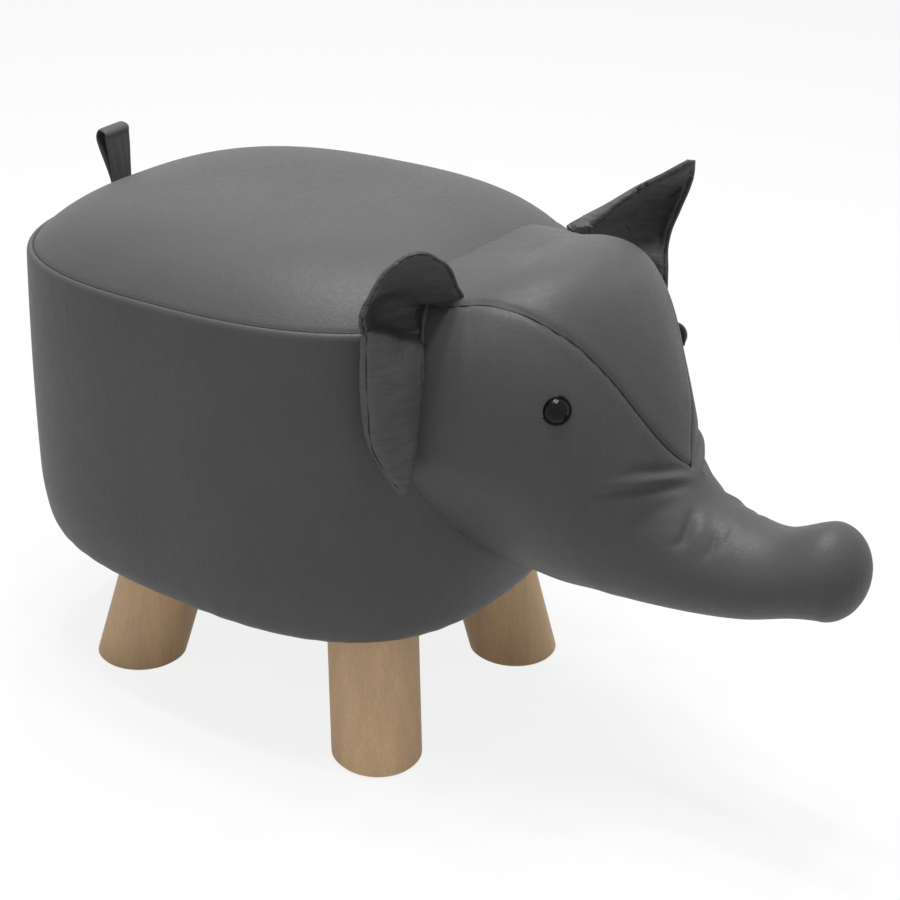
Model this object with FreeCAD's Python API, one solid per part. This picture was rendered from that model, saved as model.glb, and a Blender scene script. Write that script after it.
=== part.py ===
import FreeCAD, Part
import math
import os

# Upholstered elephant foot stool. X points forward along the trunk, Y to the
# elephant's left and Z up. The part is built round the floor point midway
# between the four feet and then moved so that the middle of the bottom of its
# bounding box is the origin. Lengths are in millimetres.

os.makedirs("parts", exist_ok=True)
V = FreeCAD.Vector
SIDES = {"left": 1, "right": -1}

# seat drum
SEAT_LENGTH = 328.0
SEAT_WIDTH = 270.0
SEAT_SET_BACK = 22.0
UNDERSIDE_HEIGHT = 88.0
TOP_SEAM_HEIGHT = 282.0
TOP_SEAM_SLOPE_SHARE = 0.048
CROWN_HEIGHT = 32.7
LOWER_EDGE_HEIGHT = 53.0
LOWER_EDGE_INSET = 10.5
OUTLINE_POWER = 2.67
OUTLINE_ARCS = 12
CROWN_POWER = 3.92
LOWER_EDGE_SHARES = ((0.0, 1.0), (0.12, 0.52), (0.35, 0.24), (0.65, 0.06), (1.0, 0.0))
CROWN_SHARES = (1.0, 0.96, 0.88, 0.72, 0.48, 0.2)

# covers and stuffing
SKIN_THICKNESS = 1.2
LAYER_GAP = 0.3
PADDING_THICKNESS = 12.0
TURNED_EDGE_WIDTH = 26.0

# wooden frame inside the seat
HOOP_THICKNESS = 3.0
BASE_BOARD_THICKNESS = 12.0
TOP_BOARD_THICKNESS = 9.0
TOP_BOARD_DROP = 34.0
POST_WIDTH = 28.0
POST_PLACE_SHARES = (
    (0.73, 0.0), (-0.73, 0.0),
    (0.4, 0.68), (-0.4, 0.68),
    (0.4, -0.68), (-0.4, -0.68),
)
FIT_GAP = 0.2
BOARD_SCREW_LENGTH = 32.0
BOARD_SCREW_DIAMETER = 4.0
BOARD_SCREW_HEAD = 8.0

# dust cover and its staples
DUST_COVER_THICKNESS = 0.6
DUST_COVER_INSET = 20.0
STAPLE_COUNT = 20
STAPLE_WIDTH = 10.0
STAPLE_WIRE = 0.8
STAPLE_LEG = 6.0
STAPLE_INSET = 26.0
STAPLE_LEG_GAP = 8.0

# legs and what fixes them
LEG_DIAMETER = 55.0
FOOT_SPACING_LONG = 191.2
FOOT_SPACING_WIDE = 152.2
LEG_SPLAY_LONG_SHARE = 0.202
LEG_SPLAY_WIDE_SHARE = 0.194
LEG_EDGE_CHAMFER = 1.5
LEG_HOLE_GAP = 0.8
BOLT_DIAMETER = 8.0
BOLT_LENGTH = 52.0
BOLT_IN_LEG = 32.0
TEE_NUT_BARREL = 10.0
TEE_NUT_FLANGE = 20.0
TEE_NUT_FLANGE_THICKNESS = 1.5
TEE_NUT_LENGTH = 10.0
PAD_DIAMETER = 42.0
PAD_THICKNESS = 2.2
PAD_PROUD = 0.8

# head and trunk
HEAD_REAR = 90.0
HEAD_REACH = 260.0
HEAD_ABOVE_UNDERSIDE = 27.0
HEAD_UNDERSIDE = UNDERSIDE_HEIGHT + HEAD_ABOVE_UNDERSIDE
HEAD_ABOVE_SEAM = 38.0
HEAD_HEIGHT = TOP_SEAM_HEIGHT + HEAD_ABOVE_SEAM - HEAD_UNDERSIDE
HEAD_WIDTH = 186.0
TRUNK_TIP_LENGTH = 14.0
TRUNK_ROOT = 252.0
# forward and height of the top, forward and height of the bottom, width
HEAD_STATION_SHARES = (
    (0.04, 0.917, 0.03, 0.015, 0.99),
    (0.19, 0.956, 0.108, 0.005, 1.00),
    (0.27, 0.99, 0.177, 0.02, 0.97),
    (0.335, 0.995, 0.27, 0.02, 0.915),
    (0.396, 0.97, 0.373, 0.02, 0.84),
    (0.45, 0.917, 0.45, 0.03, 0.72),
    (0.50, 0.824, 0.485, 0.03, 0.59),
    (0.554, 0.678, 0.515, 0.035, 0.485),
    (0.596, 0.522, 0.57, 0.045, 0.41),
    (0.658, 0.42, 0.673, 0.065, 0.365),
    (0.742, 0.38, 0.796, 0.10, 0.335),
    (0.838, 0.376, 0.915, 0.146, 0.29),
    (0.965, 0.444, 0.992, 0.21, 0.28),
)
HEAD_TOP_POWERS = (2.6, 2.6, 2.6, 2.5, 2.3, 2.1, 2.0, 2.0, 2.0, 2.0, 2.0, 2.0, 2.0)
HEAD_LOW_POWERS = (1.4, 1.4, 1.45, 1.5, 1.6, 1.7, 1.8, 1.9, 2.0, 2.0, 2.0, 2.0, 2.0)
TIP_SHARES = ((0.5, 0.88), (0.85, 0.62), (1.0, 0.3))
# plan of half the forehead panel: forward and sideways from the seam's point
BROW_LENGTH = 161.0
BROW_HALF_WIDTH = 58.0
BROW_SHARES = (
    (0.0, 1.0), (0.42, 1.0), (0.565, 0.95), (0.7, 0.86),
    (0.81, 0.62), (0.925, 0.34), (1.0, 0.0),
)
BROW_FLOOR_DROP = 77.0
SEAM_GAP = 0.3

# eyes
EYE_FORWARD = 202.8
EYE_SIDE = 69.0
EYE_DROP = 24.2
EYE_TURN_DEG = 35.0
EYE_LIFT_DEG = 18.0
EYE_DIAMETER = 14.8
EYE_DOME_HEIGHT = 5.0
EYE_RIM_DIAMETER = 16.4
EYE_RIM_THICKNESS = 1.2
EYE_SEAT_DEPTH = 0.7
EYE_SHANK_DIAMETER = 5.0
EYE_SHANK_LENGTH = 14.0
EYE_PROBE_LENGTH = 60.0
WASHER_THICKNESS = 1.2
WASHER_DIAMETER = 15.0
WASHER_DEPTH = 1.5

# ears
EAR_FORWARD = 118.0
EAR_DEPTH = 64.0
EAR_SIDE = 60.0
EAR_SPREAD = 70.0
EAR_TIP_DROP = 80.0
EAR_HEIGHT = 144.0
EAR_CUP = {"left": 9.0, "right": 6.0}
EAR_LAYER_THICKNESS = 1.8
EAR_BEAD_DIAMETER = 4.4
EAR_ROOT_DEPTH = 34.0
EAR_CLEAR_GAP = 1.0
EAR_ROOT_SHARES = (0.40, 0.69)
# height, then sideways and forward of the inner edge, sideways and forward of the outer edge
RIGHT_EAR_SHARES = (
    (0.0, 0.63, 0.20, 0.71, 0.20),
    (0.11, 0.56, 0.24, 0.79, 0.08),
    (0.25, 0.52, 0.235, 0.885, 0.0),
    (0.40, 0.48, 0.23, 0.957, 0.01),
    (0.575, 0.286, 0.23, 1.0, 0.05),
    (0.69, 0.086, 0.23, 1.0, 0.055),
    (0.79, 0.214, 0.23, 1.0, 0.11),
    (0.87, 0.343, 0.235, 0.993, 0.17),
    (0.94, 0.514, 0.25, 0.943, 0.227),
    (0.985, 0.657, 0.273, 0.786, 0.273),
)
LEFT_EAR_SHARES = (
    (0.0, 0.57, 0.52, 0.61, 0.594),
    (0.11, 0.57, 0.39, 0.63, 0.70),
    (0.25, 0.557, 0.25, 0.66, 0.81),
    (0.40, 0.48, 0.23, 0.68, 0.84),
    (0.575, 0.286, 0.23, 0.714, 0.78),
    (0.69, 0.086, 0.23, 0.721, 0.805),
    (0.79, 0.214, 0.33, 0.736, 0.89),
    (0.87, 0.43, 0.547, 0.743, 0.94),
    (0.94, 0.543, 0.75, 0.729, 0.977),
    (1.0, 0.636, 0.906, 0.686, 0.984),
)
EAR_SHARES = {"left": LEFT_EAR_SHARES, "right": RIGHT_EAR_SHARES}

# tail loop
TAIL_WIDTH = 14.0
TAIL_SIDE = 21.0
TAIL_HEIGHT = 46.0
TAIL_LEAN = 7.6
TAIL_LOOP_RADIUS = 8.0
TAIL_STRAP_THICKNESS = 1.8
TAIL_BEAD_DIAMETER = 4.0
TAIL_GAP = 0.3


def closed_wire(points):
    """Join an even number of points as three-point arcs."""
    arcs = []
    for start in range(0, len(points), 2):
        end = (start + 2) % len(points)
        arcs.append(Part.Arc(points[start], points[start + 1], points[end]).toShape())
    return Part.Wire(arcs)


def oval_point(angle, power):
    """A point of a squarish oval of half size one."""
    across = math.cos(angle)
    along = math.sin(angle)
    reach = 2 / power
    return math.copysign(abs(across) ** reach, across), math.copysign(abs(along) ** reach, along)


def oval_angles():
    """Ends and middles of the arcs round an oval, with middles on its axes."""
    steps = 2 * OUTLINE_ARCS
    return [2 * math.pi * (step - 1) / steps for step in range(steps)]


def seat_wire(inset, height, share=1.0, slope=0.0):
    """The seat's outline, drawn in by the inset and scaled by the share."""
    half_long = (SEAT_LENGTH / 2 - inset) * share
    half_wide = (SEAT_WIDTH / 2 - inset) * share
    points = []
    for angle in oval_angles():
        across, along = oval_point(angle, OUTLINE_POWER)
        forward = half_long * across - SEAT_SET_BACK
        points.append(V(forward, half_wide * along, height + slope * forward))
    return closed_wire(points)


def seat_prism(inset, bottom, top):
    """An upright solid on the seat's outline."""
    face = Part.Face(seat_wire(inset, bottom))
    return face.extrude(V(0, 0, top - bottom))


def lower_edge_form(inset):
    """The drum's rounded lower edge, down to its flat underside."""
    wires = []
    for height_share, inset_share in LOWER_EDGE_SHARES:
        lift = inset * (1 - height_share)
        height = UNDERSIDE_HEIGHT + lift + LOWER_EDGE_HEIGHT * height_share
        wires.append(seat_wire(inset + LOWER_EDGE_INSET * inset_share, height))
    return Part.makeLoft(wires, True, False)


def wall_form(inset):
    """The drum's upright side, up to the sloping top seam."""
    low = seat_wire(inset, UNDERSIDE_HEIGHT + LOWER_EDGE_HEIGHT)
    high = seat_wire(inset, TOP_SEAM_HEIGHT, 1.0, TOP_SEAM_SLOPE_SHARE)
    return Part.makeLoft([low, high], True, True)


def side_form(inset):
    return lower_edge_form(inset).fuse(wall_form(inset))


def crown_form(inset):
    """The domed top of the seat, above its seam."""
    wires = []
    for share in CROWN_SHARES:
        rise = (CROWN_HEIGHT - inset) * (1 - share ** CROWN_POWER)
        wires.append(seat_wire(inset, TOP_SEAM_HEIGHT + rise, share, TOP_SEAM_SLOPE_SHARE))
    return Part.makeLoft(wires, True, False)


def seat_covers():
    """The domed top panel and the side band that turns under the base."""
    top_panel = crown_form(0).cut(crown_form(SKIN_THICKNESS))
    band = side_form(0).cut(side_form(SKIN_THICKNESS))
    open_inset = LOWER_EDGE_INSET + TURNED_EDGE_WIDTH
    opening = seat_prism(open_inset, 0, UNDERSIDE_HEIGHT + LOWER_EDGE_HEIGHT)
    return top_panel, band.cut(opening)


def board_levels():
    """Bottom and top of the base board, then of the top board."""
    base_bottom = UNDERSIDE_HEIGHT + SKIN_THICKNESS
    top_bottom = TOP_SEAM_HEIGHT - TOP_BOARD_DROP
    return base_bottom, base_bottom + BASE_BOARD_THICKNESS, top_bottom, top_bottom + TOP_BOARD_THICKNESS


def seat_padding():
    """The crown foam over the top board and the padding round the hoop."""
    inset = SKIN_THICKNESS + LAYER_GAP
    base_bottom, _, _, top = board_levels()
    whole = side_form(inset).fuse(crown_form(inset)).removeSplitter()
    reach = TOP_SEAM_HEIGHT + SEAT_LENGTH
    foam = whole.common(seat_prism(0, top, reach))
    ring = side_form(inset).common(seat_prism(0, base_bottom + LAYER_GAP, top))
    padding = ring.cut(seat_prism(inset + PADDING_THICKNESS, 0, reach))
    return foam, padding


def seat_frame():
    """Boards, hoop and posts of the frame inside the seat."""
    base_bottom, base_top, top_bottom, top = board_levels()
    hoop_inset = SKIN_THICKNESS + LAYER_GAP + PADDING_THICKNESS + FIT_GAP
    board_inset = hoop_inset + HOOP_THICKNESS + FIT_GAP
    inside_hoop = seat_prism(hoop_inset + HOOP_THICKNESS, 0, top + base_bottom)
    hoop = seat_prism(hoop_inset, base_bottom, top).cut(inside_hoop)
    base_board = seat_prism(board_inset, base_bottom, base_top)
    top_board = seat_prism(board_inset, top_bottom, top)
    posts = []
    for forward_share, side_share in POST_PLACE_SHARES:
        corner = V(forward_share * SEAT_LENGTH / 2 - SEAT_SET_BACK - POST_WIDTH / 2,
                   side_share * SEAT_WIDTH / 2 - POST_WIDTH / 2, base_top)
        posts.append(Part.makeBox(POST_WIDTH, POST_WIDTH, top_bottom - base_top, corner))
    return base_board, top_board, hoop, posts


def countersunk_screw(radius, head_radius, length, head_point, direction):
    """A screw whose flat head lies at head_point and points along direction."""
    taper = head_radius - radius
    head = Part.makeCone(head_radius, radius, taper, head_point, direction)
    shank = Part.makeCylinder(radius, length - taper, head_point + direction * taper, direction)
    return head.fuse(shank)


def board_screws(posts):
    """One screw through each board into each end of every post."""
    base_bottom, _, _, top = board_levels()
    screws = []
    for post in posts:
        middle = post.CenterOfMass
        for height, direction in ((base_bottom, V(0, 0, 1)), (top, V(0, 0, -1))):
            place = V(middle.x, middle.y, height)
            screws.append(countersunk_screw(BOARD_SCREW_DIAMETER / 2, BOARD_SCREW_HEAD / 2,
                                            BOARD_SCREW_LENGTH, place, direction))
    return screws


def dust_cover():
    low = UNDERSIDE_HEIGHT - DUST_COVER_THICKNESS
    return seat_prism(DUST_COVER_INSET, low, UNDERSIDE_HEIGHT)


def staple(place, turn):
    """A staple with its crown under the dust cover and two legs upward."""
    corner = V(-STAPLE_WIDTH / 2, -STAPLE_WIRE / 2, -STAPLE_WIRE)
    crown = Part.makeBox(STAPLE_WIDTH, STAPLE_WIRE, STAPLE_WIRE, corner)
    legs = []
    for start in (-STAPLE_WIDTH / 2, STAPLE_WIDTH / 2 - STAPLE_WIRE):
        legs.append(Part.makeBox(STAPLE_WIRE, STAPLE_WIRE, STAPLE_LEG, V(start, -STAPLE_WIRE / 2, 0)))
    whole = crown.multiFuse(legs).removeSplitter()
    whole.rotate(V(0, 0, 0), V(0, 0, 1), turn)
    whole.translate(place)
    return whole


def dust_cover_staples():
    """Staples round the dust cover, each along its edge."""
    half_long = SEAT_LENGTH / 2 - STAPLE_INSET
    half_wide = SEAT_WIDTH / 2 - STAPLE_INSET
    low = UNDERSIDE_HEIGHT - DUST_COVER_THICKNESS
    staples = []
    for index in range(STAPLE_COUNT):
        angle = 2 * math.pi * (index + 0.5) / STAPLE_COUNT
        across, along = oval_point(angle, OUTLINE_POWER)
        place = V(half_long * across - SEAT_SET_BACK, half_wide * along, low)
        turn = math.degrees(math.atan2(half_wide * math.cos(angle), -half_long * math.sin(angle)))
        if leg_distance(place) > LEG_DIAMETER / 2 + STAPLE_LEG_GAP:
            staples.append(staple(place, turn))
    return staples


def leg_distance(place):
    """Distance of a place under the seat from the nearest leg's axis."""
    distances = []
    for front in (1, -1):
        for side in (1, -1):
            foot, upward = leg_axis(front, side)
            distances.append(place.distanceToLine(foot, upward))
    return min(distances)


def leg_axis(front, side):
    """Foot centre and upward direction of a leg that splays outward."""
    foot = V(front * FOOT_SPACING_LONG / 2, side * FOOT_SPACING_WIDE / 2, 0)
    upward = V(-front * LEG_SPLAY_LONG_SHARE, -side * LEG_SPLAY_WIDE_SHARE, 1)
    return foot, upward.normalize()


def leg_cylinder(front, side, radius, reach):
    foot, upward = leg_axis(front, side)
    return Part.makeCylinder(radius, 2 * reach, foot - upward * (reach / 2), upward)


def floor_slab(bottom, top):
    """A wide slab that trims a leg level at both ends."""
    wide = SEAT_LENGTH + SEAT_WIDTH
    return Part.makeBox(wide, wide, top - bottom, V(-wide / 2, -wide / 2, bottom))


def chamfered_foot(leg, bottom):
    edges = [edge for edge in leg.Edges if abs(edge.BoundBox.ZMax - bottom) < LEG_EDGE_CHAMFER / 2]
    return leg.makeChamfer(LEG_EDGE_CHAMFER, edges)


def leg_set(front, side):
    """A leg, its felt pad, hanger bolt and tee nut."""
    base_bottom, base_top, _, _ = board_levels()
    foot, upward = leg_axis(front, side)
    seat_point = foot + upward * (base_bottom / upward.z)
    nut_point = foot + upward * (base_top / upward.z)
    reach = TOP_SEAM_HEIGHT
    leg = leg_cylinder(front, side, LEG_DIAMETER / 2, reach).common(floor_slab(PAD_PROUD, base_bottom))
    leg = chamfered_foot(leg, PAD_PROUD)
    pad = Part.makeCylinder(PAD_DIAMETER / 2, PAD_THICKNESS, foot)
    bolt_low = seat_point - upward * BOLT_IN_LEG
    bolt = Part.makeCylinder(BOLT_DIAMETER / 2, BOLT_LENGTH, bolt_low, upward)
    bore = Part.makeCylinder(BOLT_DIAMETER / 2 + FIT_GAP, BOLT_LENGTH, bolt_low, upward)
    pocket = Part.makeCylinder(PAD_DIAMETER / 2 + FIT_GAP, PAD_THICKNESS, foot)
    leg = leg.cut(bore).cut(pocket)
    nut = tee_nut(nut_point, upward)
    return leg, pad, bolt, nut


def tee_nut(place, upward):
    """A flanged nut whose barrel goes down into the base board."""
    low = place - upward * TEE_NUT_LENGTH
    flange_low = place - upward * TEE_NUT_FLANGE_THICKNESS
    barrel = Part.makeCylinder(TEE_NUT_BARREL / 2, TEE_NUT_LENGTH, low, upward)
    flange = Part.makeCylinder(TEE_NUT_FLANGE / 2, TEE_NUT_FLANGE_THICKNESS, flange_low, upward)
    bore = Part.makeCylinder(BOLT_DIAMETER / 2 + FIT_GAP / 2, 2 * TEE_NUT_LENGTH,
                             low - upward * FIT_GAP, upward)
    return barrel.fuse(flange).cut(bore)


def tee_nut_pocket(front, side):
    """The hole and angled spot face that a tee nut and its bolt need."""
    base_bottom, base_top, _, _ = board_levels()
    foot, upward = leg_axis(front, side)
    place = foot + upward * (base_top / upward.z)
    reach = 2 * BASE_BOARD_THICKNESS
    hole = Part.makeCylinder(TEE_NUT_BARREL / 2 + FIT_GAP, 2 * reach, place - upward * reach, upward)
    low = place - upward * TEE_NUT_FLANGE_THICKNESS
    face = Part.makeCylinder(TEE_NUT_FLANGE / 2 + FIT_GAP, reach, low, upward)
    return hole.fuse(face)


def head_station(index, inset):
    """Top, bottom, half width and powers of one cross section of the head."""
    top_forward, top_height, low_forward, low_height, width = HEAD_STATION_SHARES[index]
    top = V(HEAD_REAR + HEAD_REACH * top_forward, 0, HEAD_UNDERSIDE + HEAD_HEIGHT * top_height)
    low = V(HEAD_REAR + HEAD_REACH * low_forward, 0, HEAD_UNDERSIDE + HEAD_HEIGHT * low_height)
    half_width = width * HEAD_WIDTH / 2 - inset
    middle = (top + low) * 0.5
    reach = (top - low) * 0.5
    reach = reach * ((reach.Length - inset) / reach.Length)
    return middle, reach, half_width, HEAD_TOP_POWERS[index], HEAD_LOW_POWERS[index]


def head_wire(middle, reach, half_width, top_power, low_power):
    points = []
    for angle in oval_angles():
        power = top_power if math.sin(angle) > 0 else low_power
        across, along = oval_point(angle, power)
        points.append(middle + reach * along + V(0, half_width * across, 0))
    return closed_wire(points)


def head_form(inset):
    """Head and trunk as one swelling and tapering solid."""
    wires = []
    for index in range(len(HEAD_STATION_SHARES)):
        middle, reach, half_width, top_power, low_power = head_station(index, inset)
        wires.append(head_wire(middle, reach, half_width, top_power, low_power))
    onward = V(reach.z, 0, -reach.x).normalize() * (TRUNK_TIP_LENGTH - inset)
    for along_share, size_share in TIP_SHARES:
        place = middle + onward * along_share
        wires.append(head_wire(place, reach * size_share, half_width * size_share, top_power, low_power))
    return Part.makeLoft(wires, True, False)


def without_seat(shape, gap):
    """Cut away what would lie inside the seat or nearer to it than the gap."""
    return shape.cut(wall_form(-gap)).cut(lower_edge_form(-gap)).cut(crown_form(-gap))


def forehead_wedge(gap):
    """An upright solid on the plan of the forehead panel."""
    rear = HEAD_REAR
    floor = TOP_SEAM_HEIGHT - BROW_FLOOR_DROP
    scale = (BROW_HALF_WIDTH - gap) / BROW_HALF_WIDTH
    half = []
    for forward_share, side_share in BROW_SHARES:
        forward = rear + (BROW_LENGTH - gap) * forward_share
        half.append(V(forward, BROW_HALF_WIDTH * scale * side_share, floor))
    mirrored = [V(point.x, -point.y, point.z) for point in reversed(half[:-1])]
    curve = Part.BSplineCurve()
    curve.interpolate(half)
    back = Part.BSplineCurve()
    back.interpolate([half[-1]] + mirrored)
    rear_line = Part.makeLine(mirrored[-1], half[0])
    face = Part.Face(Part.Wire([curve.toShape(), back.toShape(), rear_line]))
    return face.extrude(V(0, 0, HEAD_HEIGHT))


def eye_direction(side):
    turn = math.radians(EYE_TURN_DEG)
    lift = math.radians(EYE_LIFT_DEG)
    return V(math.sin(turn) * math.cos(lift), side * math.cos(turn) * math.cos(lift), math.sin(lift))


def eye_seat(outer, side):
    """Where the eye's axis meets the head's surface."""
    direction = eye_direction(side)
    aim = V(EYE_FORWARD, side * EYE_SIDE, TOP_SEAM_HEIGHT - EYE_DROP)
    probe = Part.makeLine(aim - direction * EYE_PROBE_LENGTH, aim + direction * EYE_PROBE_LENGTH)
    inside = outer.common(probe)
    ends = [vertex.Point for vertex in inside.Vertexes]
    surface = max(ends, key=lambda point: (point - aim).dot(direction))
    return surface - direction * EYE_SEAT_DEPTH, direction


def eye_solid(place, direction):
    """Domed eye with a thin rim and a shank behind it."""
    radius = EYE_DIAMETER / 2
    ball_radius = (radius ** 2 + EYE_DOME_HEIGHT ** 2) / (2 * EYE_DOME_HEIGHT)
    base = V(radius, 0, 0)
    top = V(0, 0, EYE_DOME_HEIGHT)
    half_angle = math.asin(radius / ball_radius) / 2
    drop = ball_radius * (1 - math.cos(half_angle))
    middle = V(ball_radius * math.sin(half_angle), 0, EYE_DOME_HEIGHT - drop)
    profile = Part.Wire([Part.makeLine(V(0, 0, 0), base), Part.Arc(base, middle, top).toShape(),
                         Part.makeLine(top, V(0, 0, 0))])
    dome = Part.Face(profile).revolve(V(0, 0, 0), V(0, 0, 1), 360)
    dome.translate(V(0, 0, EYE_RIM_THICKNESS))
    rim = Part.makeCylinder(EYE_RIM_DIAMETER / 2, EYE_RIM_THICKNESS)
    shank = Part.makeCylinder(EYE_SHANK_DIAMETER / 2, EYE_SHANK_LENGTH, V(0, 0, -EYE_SHANK_LENGTH))
    whole = dome.multiFuse([rim, shank]).removeSplitter()
    whole.Placement = FreeCAD.Placement(place, FreeCAD.Rotation(V(0, 0, 1), direction))
    return whole


def eye_washer(place, direction):
    """A disc on the eye's shank, inside the cover."""
    low = place - direction * (SKIN_THICKNESS + WASHER_DEPTH + WASHER_THICKNESS)
    disc = Part.makeCylinder(WASHER_DIAMETER / 2, WASHER_THICKNESS, low, direction)
    hole = Part.makeCylinder(EYE_SHANK_DIAMETER / 2 + FIT_GAP / 2, WASHER_THICKNESS, low, direction)
    return disc.cut(hole)


def eye_pocket(place, direction):
    """The hollow that eye, shank and washer need in cover and stuffing."""
    clear = EYE_RIM_DIAMETER / 2 + FIT_GAP
    rim = Part.makeCylinder(clear, EYE_PROBE_LENGTH / 2, place, direction)
    shank = Part.makeCylinder(EYE_SHANK_DIAMETER / 2 + FIT_GAP, 2 * EYE_SHANK_LENGTH,
                              place - direction * (EYE_SHANK_LENGTH + LAYER_GAP), direction)
    return rim.fuse(shank)


def washer_pocket(place, direction):
    deep = SKIN_THICKNESS + WASHER_DEPTH + WASHER_THICKNESS + FIT_GAP
    return Part.makeCylinder(WASHER_DIAMETER / 2 + FIT_GAP, deep, place - direction * deep, direction)


def head_pieces():
    """Covers, stuffing and eyes of the head and trunk."""
    outer = head_form(0)
    shell = without_seat(outer.cut(head_form(SKIN_THICKNESS)), LAYER_GAP)
    filling = without_seat(head_form(SKIN_THICKNESS + LAYER_GAP), LAYER_GAP)
    panel = shell.common(forehead_wedge(SEAM_GAP))
    cover = shell.cut(forehead_wedge(0))
    far = HEAD_REACH + HEAD_REAR
    ahead = Part.makeBox(far, 2 * far, 2 * far, V(TRUNK_ROOT, -far, -far / 2))
    trunk = filling.common(ahead)
    head = filling.cut(ahead)
    eyes = {}
    washers = []
    for name, side in SIDES.items():
        place, direction = eye_seat(outer, side)
        eyes[name] = eye_solid(place, direction)
        washers.append(eye_washer(place, direction))
        cover = cover.cut(eye_pocket(place, direction))
        head = head.cut(eye_pocket(place, direction)).cut(washer_pocket(place, direction))
    return outer, cover, panel, head, trunk, eyes, washers


def ear_point(side_share, forward_share, height_share, side):
    return V(EAR_FORWARD + EAR_DEPTH * forward_share, side * (EAR_SIDE + EAR_SPREAD * side_share),
             TOP_SEAM_HEIGHT - EAR_TIP_DROP + EAR_HEIGHT * height_share)


def ear_section(station, side, cup, near, far):
    """One level of an ear layer between two distances in front of its middle."""
    height, in_side, in_forward, out_side, out_forward = station
    inner = ear_point(in_side, in_forward, height, side)
    outer = ear_point(out_side, out_forward, height, side)
    ahead = V(side * (outer.y - inner.y), side * (inner.x - outer.x), 0).normalize()
    middle = (inner + outer) * 0.5 - ahead * (cup * (outer - inner).Length / EAR_SPREAD)
    back = Part.Arc(inner + ahead * near, middle + ahead * near, outer + ahead * near).toShape()
    front = Part.Arc(outer + ahead * far, middle + ahead * far, inner + ahead * far).toShape()
    outer_end = Part.makeLine(outer + ahead * near, outer + ahead * far)
    inner_end = Part.makeLine(inner + ahead * far, inner + ahead * near)
    return Part.Wire([back, outer_end, front, inner_end])


def ear_layer(name, near, far):
    wires = [ear_section(station, SIDES[name], EAR_CUP[name], near, far) for station in EAR_SHARES[name]]
    return Part.makeLoft(wires, True, False)


def ear_fold(name):
    """Lower and upper end of the line that the ear folds about."""
    ends = []
    for station in EAR_SHARES[name]:
        if station[0] in EAR_ROOT_SHARES:
            ends.append(ear_point(station[1], station[2], station[0], SIDES[name]))
    return ends


def ear_pieces(name, head_outer):
    """Front and back layer of one ear and the root strip sewn to the head."""
    low, high = ear_fold(name)
    half_gap = LAYER_GAP / 2
    front = ear_layer(name, half_gap, half_gap + EAR_LAYER_THICKNESS)
    back = ear_layer(name, -half_gap - EAR_LAYER_THICKNESS, -half_gap)
    bead_radius = EAR_BEAD_DIAMETER / 2
    along = (high - low).normalize()
    clear = Part.makeCylinder(bead_radius + LAYER_GAP, (high - low).Length, low, along)
    bead = Part.makeCylinder(bead_radius, (high - low).Length, low, along)
    inner_side = root_slab(name, EAR_DEPTH, 0)
    near_head = head_form(-EAR_CLEAR_GAP)
    front = without_seat(front.cut(inner_side).cut(near_head).cut(clear), EAR_CLEAR_GAP)
    back = without_seat(back.cut(inner_side).cut(near_head), EAR_CLEAR_GAP).fuse(bead)
    strip = root_slab(name, EAR_LAYER_THICKNESS, EAR_CLEAR_GAP).cut(clear)
    root = without_seat(strip.cut(head_outer), LAYER_GAP)
    return largest(front), largest(back), largest(root)


def root_slab(name, half_thickness, end_gap):
    """A slab on the head's side of the line that the ear folds about."""
    low, high = ear_fold(name)
    along = (high - low).normalize()
    low = low + along * end_gap
    high = high - along * end_gap
    inward = V(0, -SIDES[name] * EAR_ROOT_DEPTH, 0)
    thick = V(half_thickness, 0, 0)
    corners = [low - thick, high - thick, high - thick + inward, low - thick + inward]
    return Part.Face(Part.makePolygon(corners + [corners[0]])).extrude(thick * 2)


def largest(shape):
    """The biggest solid of a shape, without slivers left by a cut."""
    return max(shape.Solids, key=lambda solid: solid.Volume)


def tail_root():
    """One end of the line that the tail bends about, just behind the top seam."""
    rear = -SEAT_LENGTH / 2 - SEAT_SET_BACK
    seam = TOP_SEAM_HEIGHT + TOP_SEAM_SLOPE_SHARE * rear
    return V(rear - TAIL_GAP - TAIL_BEAD_DIAMETER / 2, TAIL_SIDE - TAIL_WIDTH / 2, seam)


def tail_loop():
    """A folded strap that stands at the rear of the top seam."""
    root = tail_root()
    bead_radius = TAIL_BEAD_DIAMETER / 2
    crown = root + V(-TAIL_LEAN, 0, TAIL_HEIGHT - TAIL_LOOP_RADIUS)
    outer = teardrop(root, crown, TAIL_LOOP_RADIUS, bead_radius)
    thickness = TAIL_STRAP_THICKNESS
    inner = teardrop(root, crown, TAIL_LOOP_RADIUS - thickness, bead_radius - thickness)
    strap = Part.Face(outer).cut(Part.Face(inner)).extrude(V(0, TAIL_WIDTH, 0))
    bead = Part.makeCylinder(bead_radius, TAIL_WIDTH, root, V(0, 1, 0))
    return strap.fuse(bead).removeSplitter()


def teardrop(root, crown, crown_radius, root_radius):
    """A closed outline that widens from the root to a round top."""
    up = (crown - root).normalize()
    out = V(-up.z, 0, up.x)
    left_low = root + out * root_radius
    right_low = root - out * root_radius
    left_high = crown + out * crown_radius
    right_high = crown - out * crown_radius
    top = crown + up * crown_radius
    return Part.Wire([Part.makeLine(left_low, left_high), Part.Arc(left_high, top, right_high).toShape(),
                      Part.makeLine(right_high, right_low), Part.makeLine(right_low, left_low)])


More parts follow.
